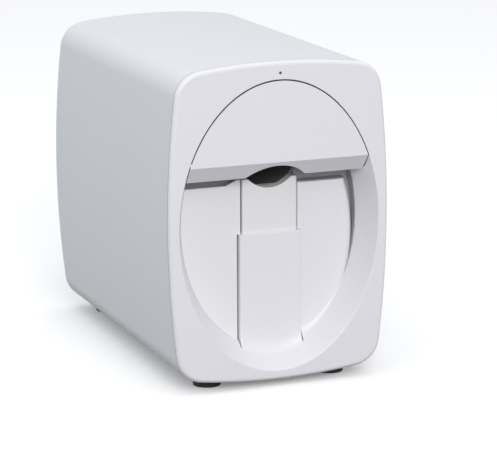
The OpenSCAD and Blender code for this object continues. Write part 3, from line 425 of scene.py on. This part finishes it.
def rear_ring(grow, y):
    """The opening of the back, larger by grow on all sides, with a point for each point of the section."""
    hx, hz = REAR_HW + grow, REAR_HH + grow
    ring = []
    for x, z in section(REAR_AIM):
        u = x * hx / (HALF_W - REAR_AIM)
        w = (z - ZC) * hz / (HALF_H - REAR_AIM)
        px, pz = round_rect_point(u, w, hx, hz, REAR_R + grow)
        ring.append((px, y, ZC + pz))
    return ring


def shell():
    y0 = YF + BEZEL_T + SEAM
    y_in = YB - WALL
    rings = []
    # outside, from the rounded edge at the seam to the rounded back
    for inset, y in ((0.5, 0.0), (0.25, 0.06), (0.08, 0.2), (0.0, 0.5), (0.0, 1.4)):
        rings.append(section_ring(inset, y0 + y))
    for y in (-90, -60, -30, 0, 30, 60, 90, YB - BACK_ROUND - 0.6):
        rings.append(section_ring(0, y))
    for i in range(15):
        t = radians(90 * i / 14)
        rings.append(section_ring(BACK_ROUND - BACK_ROUND * cos(t), YB - BACK_ROUND + BACK_ROUND * sin(t)))
    rings.append(section_ring(BACK_ROUND + 0.6, YB))
    # through the opening, whose edge is rounded
    for grow, y in ((0.6, YB), (0.25, YB - 0.08), (0.0, YB - 0.4), (0.0, y_in)):
        rings.append(rear_ring(grow, y))
    # inside, forward to the seam
    for inset, y in ((6.4, y_in), (4.4, y_in - 1.2), (WALL + 0.2, y_in - 6), (WALL, YB - 20)):
        rings.append(section_ring(inset, y))
    for inset, y in ((WALL, y0 + 0.3), (WALL + 0.1, y0)):
        rings.append(section_ring(inset, y))
    v, f = loft(rings)
    o = add("outer_body", v, f, M["shell"], "body")
    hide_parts("main_shell")


shell()


# ---------------------------------------------------------------- front moulding: its face and back as depths
RIM = 0.7                                  # radius of the rim between the front and the bowl's wall
WALL_TURN = 68.2                           # degrees between them
RIM_OUT = A + RIM * tan(radians(WALL_TURN / 2))
RIM_IN = A - RIM * tan(radians(WALL_TURN / 2)) * cos(radians(WALL_TURN))
R_W = A - DRAFT * FLOOR_D                  # radius of the wall at the floors' face
HAIR = 0.001


def req(x, z):
    """Half width of the oval through a point."""
    return sqrt(x * x + ((z - ZE) / RATIO) ** 2)


def fillet(r, level, rho):
    """Depth of the bowl's wall running into a floor at the given level through a blend of radius rho."""
    wall = (A - r) / DRAFT
    if rho <= 0.01:
        return min(wall, level)
    rw = A - DRAFT * level
    k = rho * 0.677                        # the tangent of half the turn
    rt, ro = rw - k, rw + k * cos(radians(WALL_TURN))
    if r >= ro:
        return wall
    if r <= rt:
        return level
    return level - (rho - sqrt(max(0.0, rho * rho - (r - rt) ** 2)))


def drop(inside, radius):
    """How far a rounded edge has dropped at a distance inside it; beyond the edge it falls steeply."""
    if inside >= radius:
        return 0.0
    if inside >= 0:
        return radius - sqrt(max(0.0, radius * radius - (radius - inside) ** 2))
    return radius - inside * 12


def crescent(x, z):
    """Distance inside the curve that bounds the right floor."""
    a, b = R_W, R_W * RATIO
    u, w = (x + FLOOR_SHIFT), (z - (ZE - 10))
    f = sqrt((u / a) ** 2 + (w / b) ** 2)
    g = sqrt((u / a ** 2) ** 2 + (w / b ** 2) ** 2)
    return (1 - f) * f / max(g, 1e-6)


def block_depth(x, z, r, plain):
    """Depth of the finger rest's block, whose sides and top are rounded above the slits' lower end."""
    if z <= Z_SLIT or r >= R_W + 6:
        return plain
    side = drop(SLEEVE_HW - abs(x), 1.0)
    top = drop(Z_SLEEVE - z, 0.5)
    return min(plain + max(side, top), plain + 1.2)


def right_floor(x, z, r):
    """Depth of the moulded floor, which blends into the wall except where the crescent leaves it."""
    wx, wz = x / r * R_W, ZE + (z - ZE) / r * R_W
    h = fillet(r, FLOOR_D, 8.0 * smooth(0.5, 12, crescent(wx, wz)))
    if r >= R_W:
        return h
    d = drop(Z_FLOOR - FLOOR_FALL - z, FLOOR_TOP)
    if z > 45:
        d = max(d, drop(crescent(x, z), FLOOR_SOFT))
    if z < Z_FLOOR:
        edge = x - (REST_EDGE if z > Z_SLEEVE else SLEEVE_EDGE)
        d = max(d, drop(max(edge, 0.0), 0.5))
    return min(h + d, RECESS)


def left_floor(z, r):
    """Depth of the left panel's seat, and of the recess above it."""
    if r < A - DRAFT * SEAT_D and z > Z_STEP:
        return RECESS
    return min((A - r) / DRAFT, SEAT_D)


def bowl_depth(x, z):
    r = req(x, z)
    if r >= RIM_OUT:
        return 0.0
    if r > RIM_IN:
        return RIM - sqrt(max(0.0, RIM * RIM - (RIM_OUT - r) ** 2))
    block = fillet(r, SLEEVE_D, SLEEVE_FOOT)
    if abs(x) < SLEEVE_HW + 0.2 and z < Z_SLEEVE + 0.01:
        return block_depth(x, z, r, block)
    floor = right_floor(x, z, r) if x > 0 else left_floor(z, r)
    # below the slits the block's foot runs into the floors
    t = smooth(SLEEVE_HW, 27, abs(x))
    t = t + (1 - t) * smooth(20, 30, z)
    return block * (1 - t) + floor * t


def back_depth(x, z, h):
    """Depth of the moulding's back where its face has the depth h."""
    r = req(x, z)
    if abs(x) < GROOVE_HW and Z_SHELF < z < Z_SLEEVE + 0.05 and r < 52:
        return SLEEVE_D + SLEEVE_T
    b = min(FLOOR_B, max(BEZEL_T, (A + 2.2 - r) / DRAFT))
    if z > Z_LIP:
        b = min(b, LIP_B)
    if z > Z_SKIRT:
        b = BEZEL_T
    return max(b, h + 0.4) if z <= Z_LIP else max(b, h)


# ---------------------------------------------------------------- front moulding: its mesh
def falling(r, stages):
    """Radii from r down, by the step of each stage (end, step)."""
    radii = []
    for end, step in stages:
        while r > end:
            radii.append(r)
            r -= step
    return radii


def bowl_radii():
    """Radii of the oval's rings, close together where the face bends."""
    radii = [RIM_OUT + 0.4, RIM_OUT]
    radii += [RIM_OUT + (RIM_IN - RIM_OUT) * k for k in (0.12, 0.28, 0.46, 0.64, 0.82, 1.0)]
    radii += [63.3, 62.9, R_SKIRT, 61.5, 60.5, R_MOUTH]
    radii += falling(59.2, [(R_W + 0.3, 0.5)])
    radii += [R_W + 0.15, R_W + 0.004, R_W - 0.004, R_W - 0.25, R_W - 0.55, 55.45, 55.44]
    radii += falling(55.0, [(47, 0.45), (38, 0.9), (5, 1.8)])
    return radii + [3.0]


def front_rings():
    """Rings of the front from the seam over its rounded edge to the oval's middle, still without depths."""
    y_seam = YF + BEZEL_T
    rings = [section_ring(inset, y_seam - y) for inset, y in ((0.3, 0.0), (0.08, 0.08), (0.0, 0.3))]
    for i in range(11):
        t = radians(90 * i / 10)
        rings.append(section_ring(EDGE_ROUND - EDGE_ROUND * cos(t), YF + EDGE_ROUND - EDGE_ROUND * sin(t)))
    flat = section_ring(EDGE_ROUND + 0.4, YF)
    # directions in which the section's points are seen from the oval's centre
    phi = [atan2((z - ZE) / (RATIO * A), x / A) for x, z in section(EDGE_ROUND)]
    oval = [[(r * cos(p), YF, ZE + r * RATIO * sin(p)) for p in phi] for r in bowl_radii()]
    between = [tuple((a + b) / 2 for a, b in zip(p, q)) for p, q in zip(flat, oval[0])]
    return rings + [flat, between] + oval


def cut(bm, axis, value, lo, hi):
    """Adds an edge line across the bowl's faces at x or z = value, between lo and hi on the other axis."""
    k, other = (0, 2) if axis == "x" else (2, 0)
    geom = set()
    for fa in bm.faces:
        if all(req(w.co.x, w.co.z) < 61 for w in fa.verts):
            a = [w.co[k] for w in fa.verts]
            b = [w.co[other] for w in fa.verts]
            if min(a) < value < max(a) and max(b) > lo and min(b) < hi:
                geom.add(fa)
                geom.update(fa.verts)
                geom.update(fa.edges)
    point, normal = [0, 0, 0], [0, 0, 0]
    point[k] = value
    normal[k] = 1
    if geom:
        bmesh.ops.bisect_plane(bm, geom=list(geom), plane_co=point, plane_no=normal, dist=1e-5)


def cut_lines(bm):
    """Edge lines beside the rest and its block, and along the floors' and the block's top edges."""
    for s in (-1, 1):
        for x in (17.59, 17.61, 18.4, 18.8, 19.2, 19.5, 19.7, 19.8, 20.6):
            cut(bm, "x", s * x, 10, 133)
    for x in (18.5, 18.65, 18.9, 20.7, 20.85, 21.1):
        cut(bm, "x", x, 10, 133)
    block_top = [Z_SLEEVE - d for d in (0.5, 0.3, 0.12, 0.0)]
    step = [Z_PANEL - 2.02, Z_PANEL - 2.0]
    for z in [Z_SLIT, 26.99, 27.01] + block_top + step + [Z_LIP, Z_CHANNEL]:
        cut(bm, "z", z, -70, 70)
    for z in (116.8, 117.2, 117.7, 118.2, 118.7, 119.2, 119.6, 120.25, 120.45, 120.5, 120.6):
        cut(bm, "z", z, 10, 70)


def light_hole(bm):
    """A round hole for the status light, in the flat above the oval."""
    n = 24
    hub = min(bm.verts, key=lambda w: (w.co - Vector((0, YF, Z_LIGHT))).length)
    around = {e for fa in hub.link_faces for e in fa.edges if hub not in e.verts}
    bmesh.ops.delete(bm, geom=[hub], context="VERTS")
    turns = [2 * pi * i / n for i in range(n)]
    rim = [bm.verts.new((LIGHT_R * cos(t), YF, Z_LIGHT + LIGHT_R * sin(t))) for t in turns]
    circle = [bm.edges.new((rim[i - 1], rim[i])) for i in range(n)]
    bmesh.ops.triangle_fill(bm, use_beauty=True, edges=list(around) + circle)


def is_open(x, z):
    """Whether a face there belongs to the rest's channel, a slit or the mouth behind the door."""
    r, ax = req(x, z), abs(x)
    if r > R_SKIRT + 0.2:
        return False
    channel = ax < REST_EDGE and Z_SLEEVE < z < Z_CHANNEL
    slit = SLEEVE_HW < ax < SLEEVE_EDGE and Z_SLIT < z < Z_SLEEVE
    mouth = (z > Z_LIP and r < R_MOUTH) or (z > Z_SKIRT and r < R_SKIRT)
    return channel or slit or mouth


def open_up(bm):
    gone = []
    for fa in bm.faces:
        c = fa.calc_center_median()
        if is_open(c.x, c.z):
            gone.append(fa)
    bmesh.ops.delete(bm, geom=gone, context="FACES")
    for w in [w for w in bm.verts if not w.link_faces]:
        bm.verts.remove(w)


def inwards(w):
    """A vertex's x and z a hair towards the middle of its faces, which settles its side of a step."""
    c = Vector((0, 0, 0))
    for fa in w.link_faces:
        c += fa.calc_center_median()
    c /= len(w.link_faces)
    return w.co.x + (c.x - w.co.x) * HAIR, w.co.z + (c.z - w.co.z) * HAIR


def press_in(bm):
    """Moves the oval's flat mesh back to the bowl's depths."""
    for w in bm.verts:
        if req(w.co.x, w.co.z) < RIM_OUT + 0.2 and w.co.y == YF:
            w.co.y = YF + min(bowl_depth(*inwards(w)), RECESS)


def add_back(bm):
    """Gives the face a back, and walls along its open edges."""
    front_faces = list(bm.faces)
    edges = [e for e in bm.edges if len(e.link_faces) == 1]
    twin = {}
    for w in list(bm.verts):
        if req(w.co.x, w.co.z) > A + 2.4:
            b = BEZEL_T
        else:
            b = back_depth(*inwards(w), w.co.y - YF)
        twin[w] = bm.verts.new((w.co.x, YF + b, w.co.z))
    for fa in front_faces:
        bm.faces.new([twin[w] for w in reversed(fa.verts)])
    for e in edges:
        a, b = e.verts
        add_face(bm, [a, b, twin[b], twin[a]])


def paint_front(me):
    """Paints shade on the front: grey on the recess round the floors, and near black on the walls that the
    door covers.
    """
    recess_wall_shade_slot, recess_fade_shade_slot, gap_shade_slot = 1, 2, 3
    for key in ("recess", "fade", "gap"):
        me.materials.append(M[key])
    for q in me.polygons:
        x, y, z = (k / MM for k in q.center)
        behind_floor = y > YF + FLOOR_D + 0.1 and q.normal.y < 0.3 and req(x, z) < R_W + 0.2
        if behind_floor and z > 60 and (x > 21.2 or z > Z_PANEL - 2.2):
            wall = q.normal.x * x < 0 and abs(q.normal.x) > 0.5
            q.material_index = recess_wall_shade_slot if wall else recess_fade_shade_slot
        corners = [me.vertices[i].co / MM for i in q.vertices]
        if all(c.z > Z_LIP - 0.1 and req(c.x, c.z) < RIM_OUT + 0.05 for c in corners):
            q.material_index = gap_shade_slot


def is_rib(x, y, z):
    """Whether a face of the CAD node belongs to its hinge cheeks, ribs, strike arms or spring pegs."""
    ax = abs(x)
    cheek = ax < 17 and z > 186.2 and -111.0 < y < -100
    strike_arm = 33.9 < ax < 55 and 137.9 < z < 146.1 and -106.2 < y < -100.5 and req(x, z) < 60
    peg = ax < 12 and 26.9 < z < 38.1 and -95.4 < y < -91.9
    return cheek or strike_arm or peg


def front():
    bm = bmesh.new()
    verts, faces = loft(front_rings(), wrap=False)
    vs = [bm.verts.new(p) for p in verts]
    for f in faces:
        bm.faces.new([vs[i] for i in f])
    cut_lines(bm)
    light_hole(bm)
    open_up(bm)
    press_in(bm)
    add_back(bm)
    bmesh.ops.scale(bm, vec=(MM, MM, MM), verts=bm.verts)
    me = bpy.data.meshes.new("front_moulding")
    o = finish_mesh(bm, me, "front_moulding", M["front"], "body", 34)
    paint_front(me)
    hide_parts("front_bezel")

    p = crop("front_bezel", "bezel_ribs", is_rib, M["front"], "body")
    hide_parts("front_bezel")


front()


# ---------------------------------------------------------------- flat panel left of the finger rest
def panel_ring(r, y):
    """Outline of the panel: up beside the block and the rest, over its top, and down along the oval."""
    xs, xr = -SLEEVE_EDGE, -REST_EDGE
    z_low = ZE - RATIO * sqrt(r * r - xs * xs)
    z_tab = Z_PANEL + PANEL_TAB
    x_top = -sqrt(r * r - ((Z_PANEL - ZE) / RATIO) ** 2)
    pts = [(xs, z_low), (xs, Z_SLEEVE), (xr, Z_SLEEVE), (xr, z_tab), (xs, z_tab), (xs - 7, Z_PANEL)]
    a0 = atan2((Z_PANEL - ZE) / RATIO, x_top)
    a1 = atan2((z_low - ZE) / RATIO, xs) + 2 * pi
    n = 80
    for i in range(n):
        t = a0 + (a1 - a0) * i / n
        pts.append((r * cos(t), ZE + r * RATIO * sin(t)))
    return [(x, y, z) for x, z in pts]


def left_panel():
    r = A - PANEL_GAP - DRAFT * FLOOR_D
    face = panel_ring(r, YF + FLOOR_D)
    back = panel_ring(r - DRAFT * PANEL_T, YF + FLOOR_D + PANEL_T)
    v, f = loft([face, back], closed_ends=True, wrap=False)
    o = add("left_panel_plate", v, f, M["panel"], "body")
    bevelled(o, 0.25, 3)
    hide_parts("left_hand_panel")


left_panel()


# ---------------------------------------------------------------- finger rest
Z_REST0, Z_REST = 52.0, 124.3              # lower and upper end
NOTCH_R, Z_NOTCH = 18.75, 137.05           # the notch's radius and the height of its centre
REST_ROUND, X_ROUND = 1.2, 16.4            # radius of the front's side edges, and where they begin


def rest_columns():
    """Places across the rest, three times as close in the notch."""
    notch = [0, 3, 6, 9, 11, 12.2, 13, 13.5, 13.9, 14.5, 15.2]
    xs = mirrored(notch + [X_ROUND, 16.7, 17.0, 17.25, 17.45, REST_HW])
    fine = []
    for a, b in zip(xs, xs[1:]):
        fine.append(a)
        if abs(a) < 13.4 and abs(b) < 13.6:
            fine += [a + (b - a) / 3, a + 2 * (b - a) / 3]
    return fine + [xs[-1]]


def rest_ring(x):
    """Outline of the rest at x: from its lower back edge up the front, over the top edge, to the back."""
    past = max(0.0, abs(x) - X_ROUND)
    d = REST_D + REST_ROUND - sqrt(max(0.0, REST_ROUND ** 2 - past ** 2))
    top = Z_REST
    if abs(x) < NOTCH_R:
        top = min(top, Z_NOTCH - sqrt(NOTCH_R ** 2 - x * x))
    outline = [
        (REST_BACK, Z_REST0), (d, Z_REST0), (d, 60.0), (d, 100.0), (d, top - 1.0), (d, top - 0.5),
        (d + 0.15, top - 0.14), (d + 0.5, top), (min(d + 1.0, REST_BACK), top), (REST_BACK, top),
    ]
    return [(x, YF + y, z) for y, z in outline]


def finger_rest():
    v, f = loft([rest_ring(x) for x in rest_columns()], closed_ends=True, wrap=False)
    o = add("finger_rest_plate", v, f, M["panel"], "rest", 40)
    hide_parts("finger_rest")


finger_rest()


# ---------------------------------------------------------------- cartridge door
DOOR_GAP, DOOR_T = 0.45, 2.5               # gap to the oval, thickness of the plate above the fold
LOW_D, LOW_BACK = 8, 9.5                   # depth of the lower edge's face and back
BEVEL_RISE = 2 * sqrt(1 + BEVEL_K * BEVEL_K)   # height between the two faces of the 2 mm thick bevel
Z_ARCH, R_ARCH = 106.0, 28.4
X_ARCH = sqrt(R_ARCH ** 2 - (Z_LIP - Z_ARCH) ** 2)


def door_half(d, z):
    """Half width of the door at a depth and a height."""
    a = A - DOOR_GAP - DRAFT * d
    return a * sqrt(max(0.0, 1 - ((z - ZE) / (a * RATIO)) ** 2))


X_LOW = door_half(LOW_D, Z_LIP)


def back_z(d):
    """Height of the bevel's back at a depth."""
    return Z_DOOR + BEVEL_RISE - BEVEL_K * d


def arch_corners(x):
    """Corners (x, depth, z) of the bevel over the arch, from the fold down its face and up its back."""
    z = max(Z_ARCH + sqrt(max(0.0, R_ARCH ** 2 - x * x)), Z_LIP)
    back_d = (Z_DOOR + BEVEL_RISE - z) / BEVEL_K
    if back_d > LOW_BACK:
        low_back, back = (x, LOW_BACK, z), (x, LOW_BACK, back_z(LOW_BACK))
    else:
        low_back = back = (x, back_d, z)
    return [(x, 0, Z_DOOR), (x, (Z_DOOR - z) / BEVEL_K, z), low_back, back, (x, DOOR_T, back_z(DOOR_T))]


def side_corners(x, share):
    """The same corners beside the arch, at a share of the way from the arch to the door's side."""
    corners = [(0, Z_DOOR), (LOW_D, Z_LIP), (LOW_BACK, Z_LIP)]
    corners += [(d, back_z(d)) for d in (LOW_BACK, DOOR_T)]
    return [(math.copysign(X_ARCH + (door_half(d, z) - X_ARCH) * share, x), d, z) for d, z in corners]


def bevel_column(x):
    """The bevel's corners at x, with three more points down its face."""
    share = max(0.0, (abs(x) - X_ARCH) / (X_LOW - X_ARCH))
    corners = arch_corners(x) if abs(x) <= X_ARCH + 1e-9 else side_corners(x, share)
    face = []
    for q in (0.25, 0.5, 0.75):
        px, d, z = (a + (b - a) * q for a, b in zip(corners[0], corners[1]))
        if share >= 1:
            px = math.copysign(door_half(d, z), x)
        face.append((px, d, z))
    return corners[:1] + face + corners[1:]


def bevel_columns():
    """Columns across the bevel, from left to right."""
    arch = [X_ARCH * sin(radians(90 * i / 24)) for i in range(25)]
    side = [X_ARCH + (X_LOW - X_ARCH) * (i / 14) for i in range(1, 15)]
    return [bevel_column(x) for x in mirrored(arch + side)]


def plate_arcs():
    """Front and back outline of the plate above the fold, which follow the oval from right to left."""
    a = A - DOOR_GAP
    t0 = atan2((Z_DOOR - ZE) / RATIO, door_half(0, Z_DOOR))
    n = 150
    front_arc, back_arc = [], []
    for i in range(1, n):
        t = t0 + (pi - 2 * t0) * i / n
        x, z = a * cos(t), ZE + a * RATIO * sin(t)
        b = a - (DRAFT + (1 - DRAFT) * smooth(163, 167, z)) * DOOR_T
        front_arc.append((x, YF, z))
        back_arc.append((b * cos(t), YF + DOOR_T, ZE + b * RATIO * sin(t)))
    return front_arc, back_arc


def door_mesh():
    """Vertices and faces of the bevel and the plate above it."""
    cols = bevel_columns()
    nc, m = len(cols), len(cols[0])
    v = [(x, YF + d, z) for col in cols for x, d, z in col]
    f = []
    for j in range(nc - 1):
        for i in range(m - 1):
            f.append((j * m + i, j * m + i + 1, (j + 1) * m + i + 1, (j + 1) * m + i))
    # end faces of the bevel
    f.append(tuple(range(m)))
    f.append(tuple(reversed(range((nc - 1) * m, nc * m))))
    # front and back of the plate, and the wall between them
    front_arc, back_arc = plate_arcs()
    na = len(front_arc)
    arc_f = list(range(len(v), len(v) + na))
    arc_b = list(range(len(v) + na, len(v) + 2 * na))
    v += front_arc + back_arc
    fold_f = [j * m for j in range(nc)]
    fold_b = [j * m + m - 1 for j in range(nc)]
    f.append(tuple(fold_f + arc_f))
    f.append(tuple(fold_b[::-1] + arc_b[::-1]))
    rim_f = fold_f[-1:] + arc_f + fold_f[:1]
    rim_b = fold_b[-1:] + arc_b + fold_b[:1]
    for i in range(len(rim_f) - 1):
        f.append((rim_f[i], rim_b[i], rim_b[i + 1], rim_f[i + 1]))
    return v, f


def shade_door_edge(me):
    """Paints shade on the door's outer edge: its side faces get a near-black colour, as the wall beside it
    has.
    """
    me.materials.append(M["edge"])
    for q in me.polygons:
        x, y, z = (k / MM for k in q.center)
        out = Vector((x, 0, (z - ZE) / RATIO ** 2)).normalized()
        if q.normal.dot(out) > 0.7 and req(x, z) > A - DOOR_GAP - DRAFT * (y - YF) - 1.0:
            q.material_index = 1


def is_skirt(x, y, z):
    """Whether a face of the CAD node lies behind the plate above the fold."""
    return y > YF + DOOR_T - 0.25 and z > 137.6


def door():
    v, f = door_mesh()
    o = add("door_plate", v, f, M["front"], "door", 30, merge=2e-6)
    shade_door_edge(o.data)
    bevelled(o, 0.3, 2, 30)
    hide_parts("cartridge_door")

    p = crop("cartridge_door", "door_skirt", is_skirt, M["front"], "door")
    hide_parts("cartridge_door")


door()


# ---------------------------------------------------------------- floor, light, camera
FLOOR_HALF = 14.0                          # metres
FLOOR_LIT, FLOOR_SEEN = 0.12, 0.96         # its grey where it lights the object, and where it is seen
FLOOR_LIFT = 0.16                          # its glow where it is seen


def stage():
    """A floor that is white with the object's shadow where it is seen, and darker as it lights the object."""
    me = bpy.data.meshes.new("floor")
    s = FLOOR_HALF
    me.from_pydata([(-s, -s, 0), (s, -s, 0), (s, s, 0), (-s, s, 0)], [], [(0, 1, 2, 3)])
    o = bpy.data.objects.new("floor", me)
    bpy.context.scene.collection.objects.link(o)
    m = bpy.data.materials.new("pale_floor")
    m.use_nodes = True
    nt = m.node_tree
    b = nt.nodes["Principled BSDF"]
    b.inputs["Roughness"].default_value = 0.9
    b.inputs["Specular IOR Level"].default_value = 0.0
    b.inputs["Emission Color"].default_value = (1, 1, 1, 1)
    path = nt.nodes.new("ShaderNodeLightPath")
    seen = path.outputs["Is Camera Ray"]
    for other in ("Is Glossy Ray", "Is Transmission Ray"):
        seen = math_node(nt, "MAXIMUM", seen, path.outputs[other])
    tone = mix_colours(nt, seen, (FLOOR_LIT,) * 3, (FLOOR_SEEN,) * 3)
    nt.links.new(tone, b.inputs["Base Color"])
    nt.links.new(math_node(nt, "MULTIPLY", seen, FLOOR_LIFT), b.inputs["Emission Strength"])
    me.materials.append(m)


stage()

world = bpy.data.worlds.new("studio")
bpy.context.scene.world = world
world.use_nodes = True
world.node_tree.nodes["Background"].inputs["Color"].default_value = (0.97, 0.98, 1.0, 1)
world.node_tree.nodes["Background"].inputs["Strength"].default_value = 0.75


def area(name, place, target, size, power, colour=(1, 1, 1)):
    """A rectangular lamp that faces a target."""
    d = bpy.data.lights.new(name, "AREA")
    d.shape = "RECTANGLE"
    d.size, d.size_y = size
    d.energy = power
    d.color = colour
    o = bpy.data.objects.new(name, d)
    bpy.context.scene.collection.objects.link(o)
    o.location = place
    o.rotation_euler = (Vector(target) - Vector(place)).to_track_quat("-Z", "Y").to_euler()


area("top_softbox", (0.2, 0.1, 1.7), (0, 0, 0.1), (1.6, 1.6), 2.4)
area("front_softbox", (-0.3, -1.9, 0.9), (0, -0.1, 0.1), (1.0, 1.0), 20.5, (1.0, 0.99, 1.0))
area("left_fill", (-1.6, 0.3, 0.7), (0, 0, 0.1), (1.0, 1.0), 4.0, (0.95, 0.98, 1.0))

# the camera is fitted to the object's outline in the photo
CAMERA_PLACE = (-0.528456, -1.407949, 0.421001)
CAMERA_LOOK = (0.35609083, 0.90697739, -0.22492517)
CAMERA_ROLL = -0.25268                     # degrees
cam = bpy.data.cameras.new("camera")
cam.sensor_width = 36
cam.sensor_fit = "HORIZONTAL"
cam.lens = 175.46
cam.clip_start = 0.05
cam.clip_end = 60
camera = bpy.data.objects.new("camera", cam)
bpy.context.scene.collection.objects.link(camera)
camera.location = CAMERA_PLACE
camera.rotation_mode = "QUATERNION"
look = Vector(CAMERA_LOOK).to_track_quat("-Z", "Y")
camera.rotation_quaternion = look @ Quaternion((0, 0, 1), radians(CAMERA_ROLL))
bpy.context.scene.camera = camera

vs = bpy.context.scene.view_settings
vs.view_transform = "Standard"
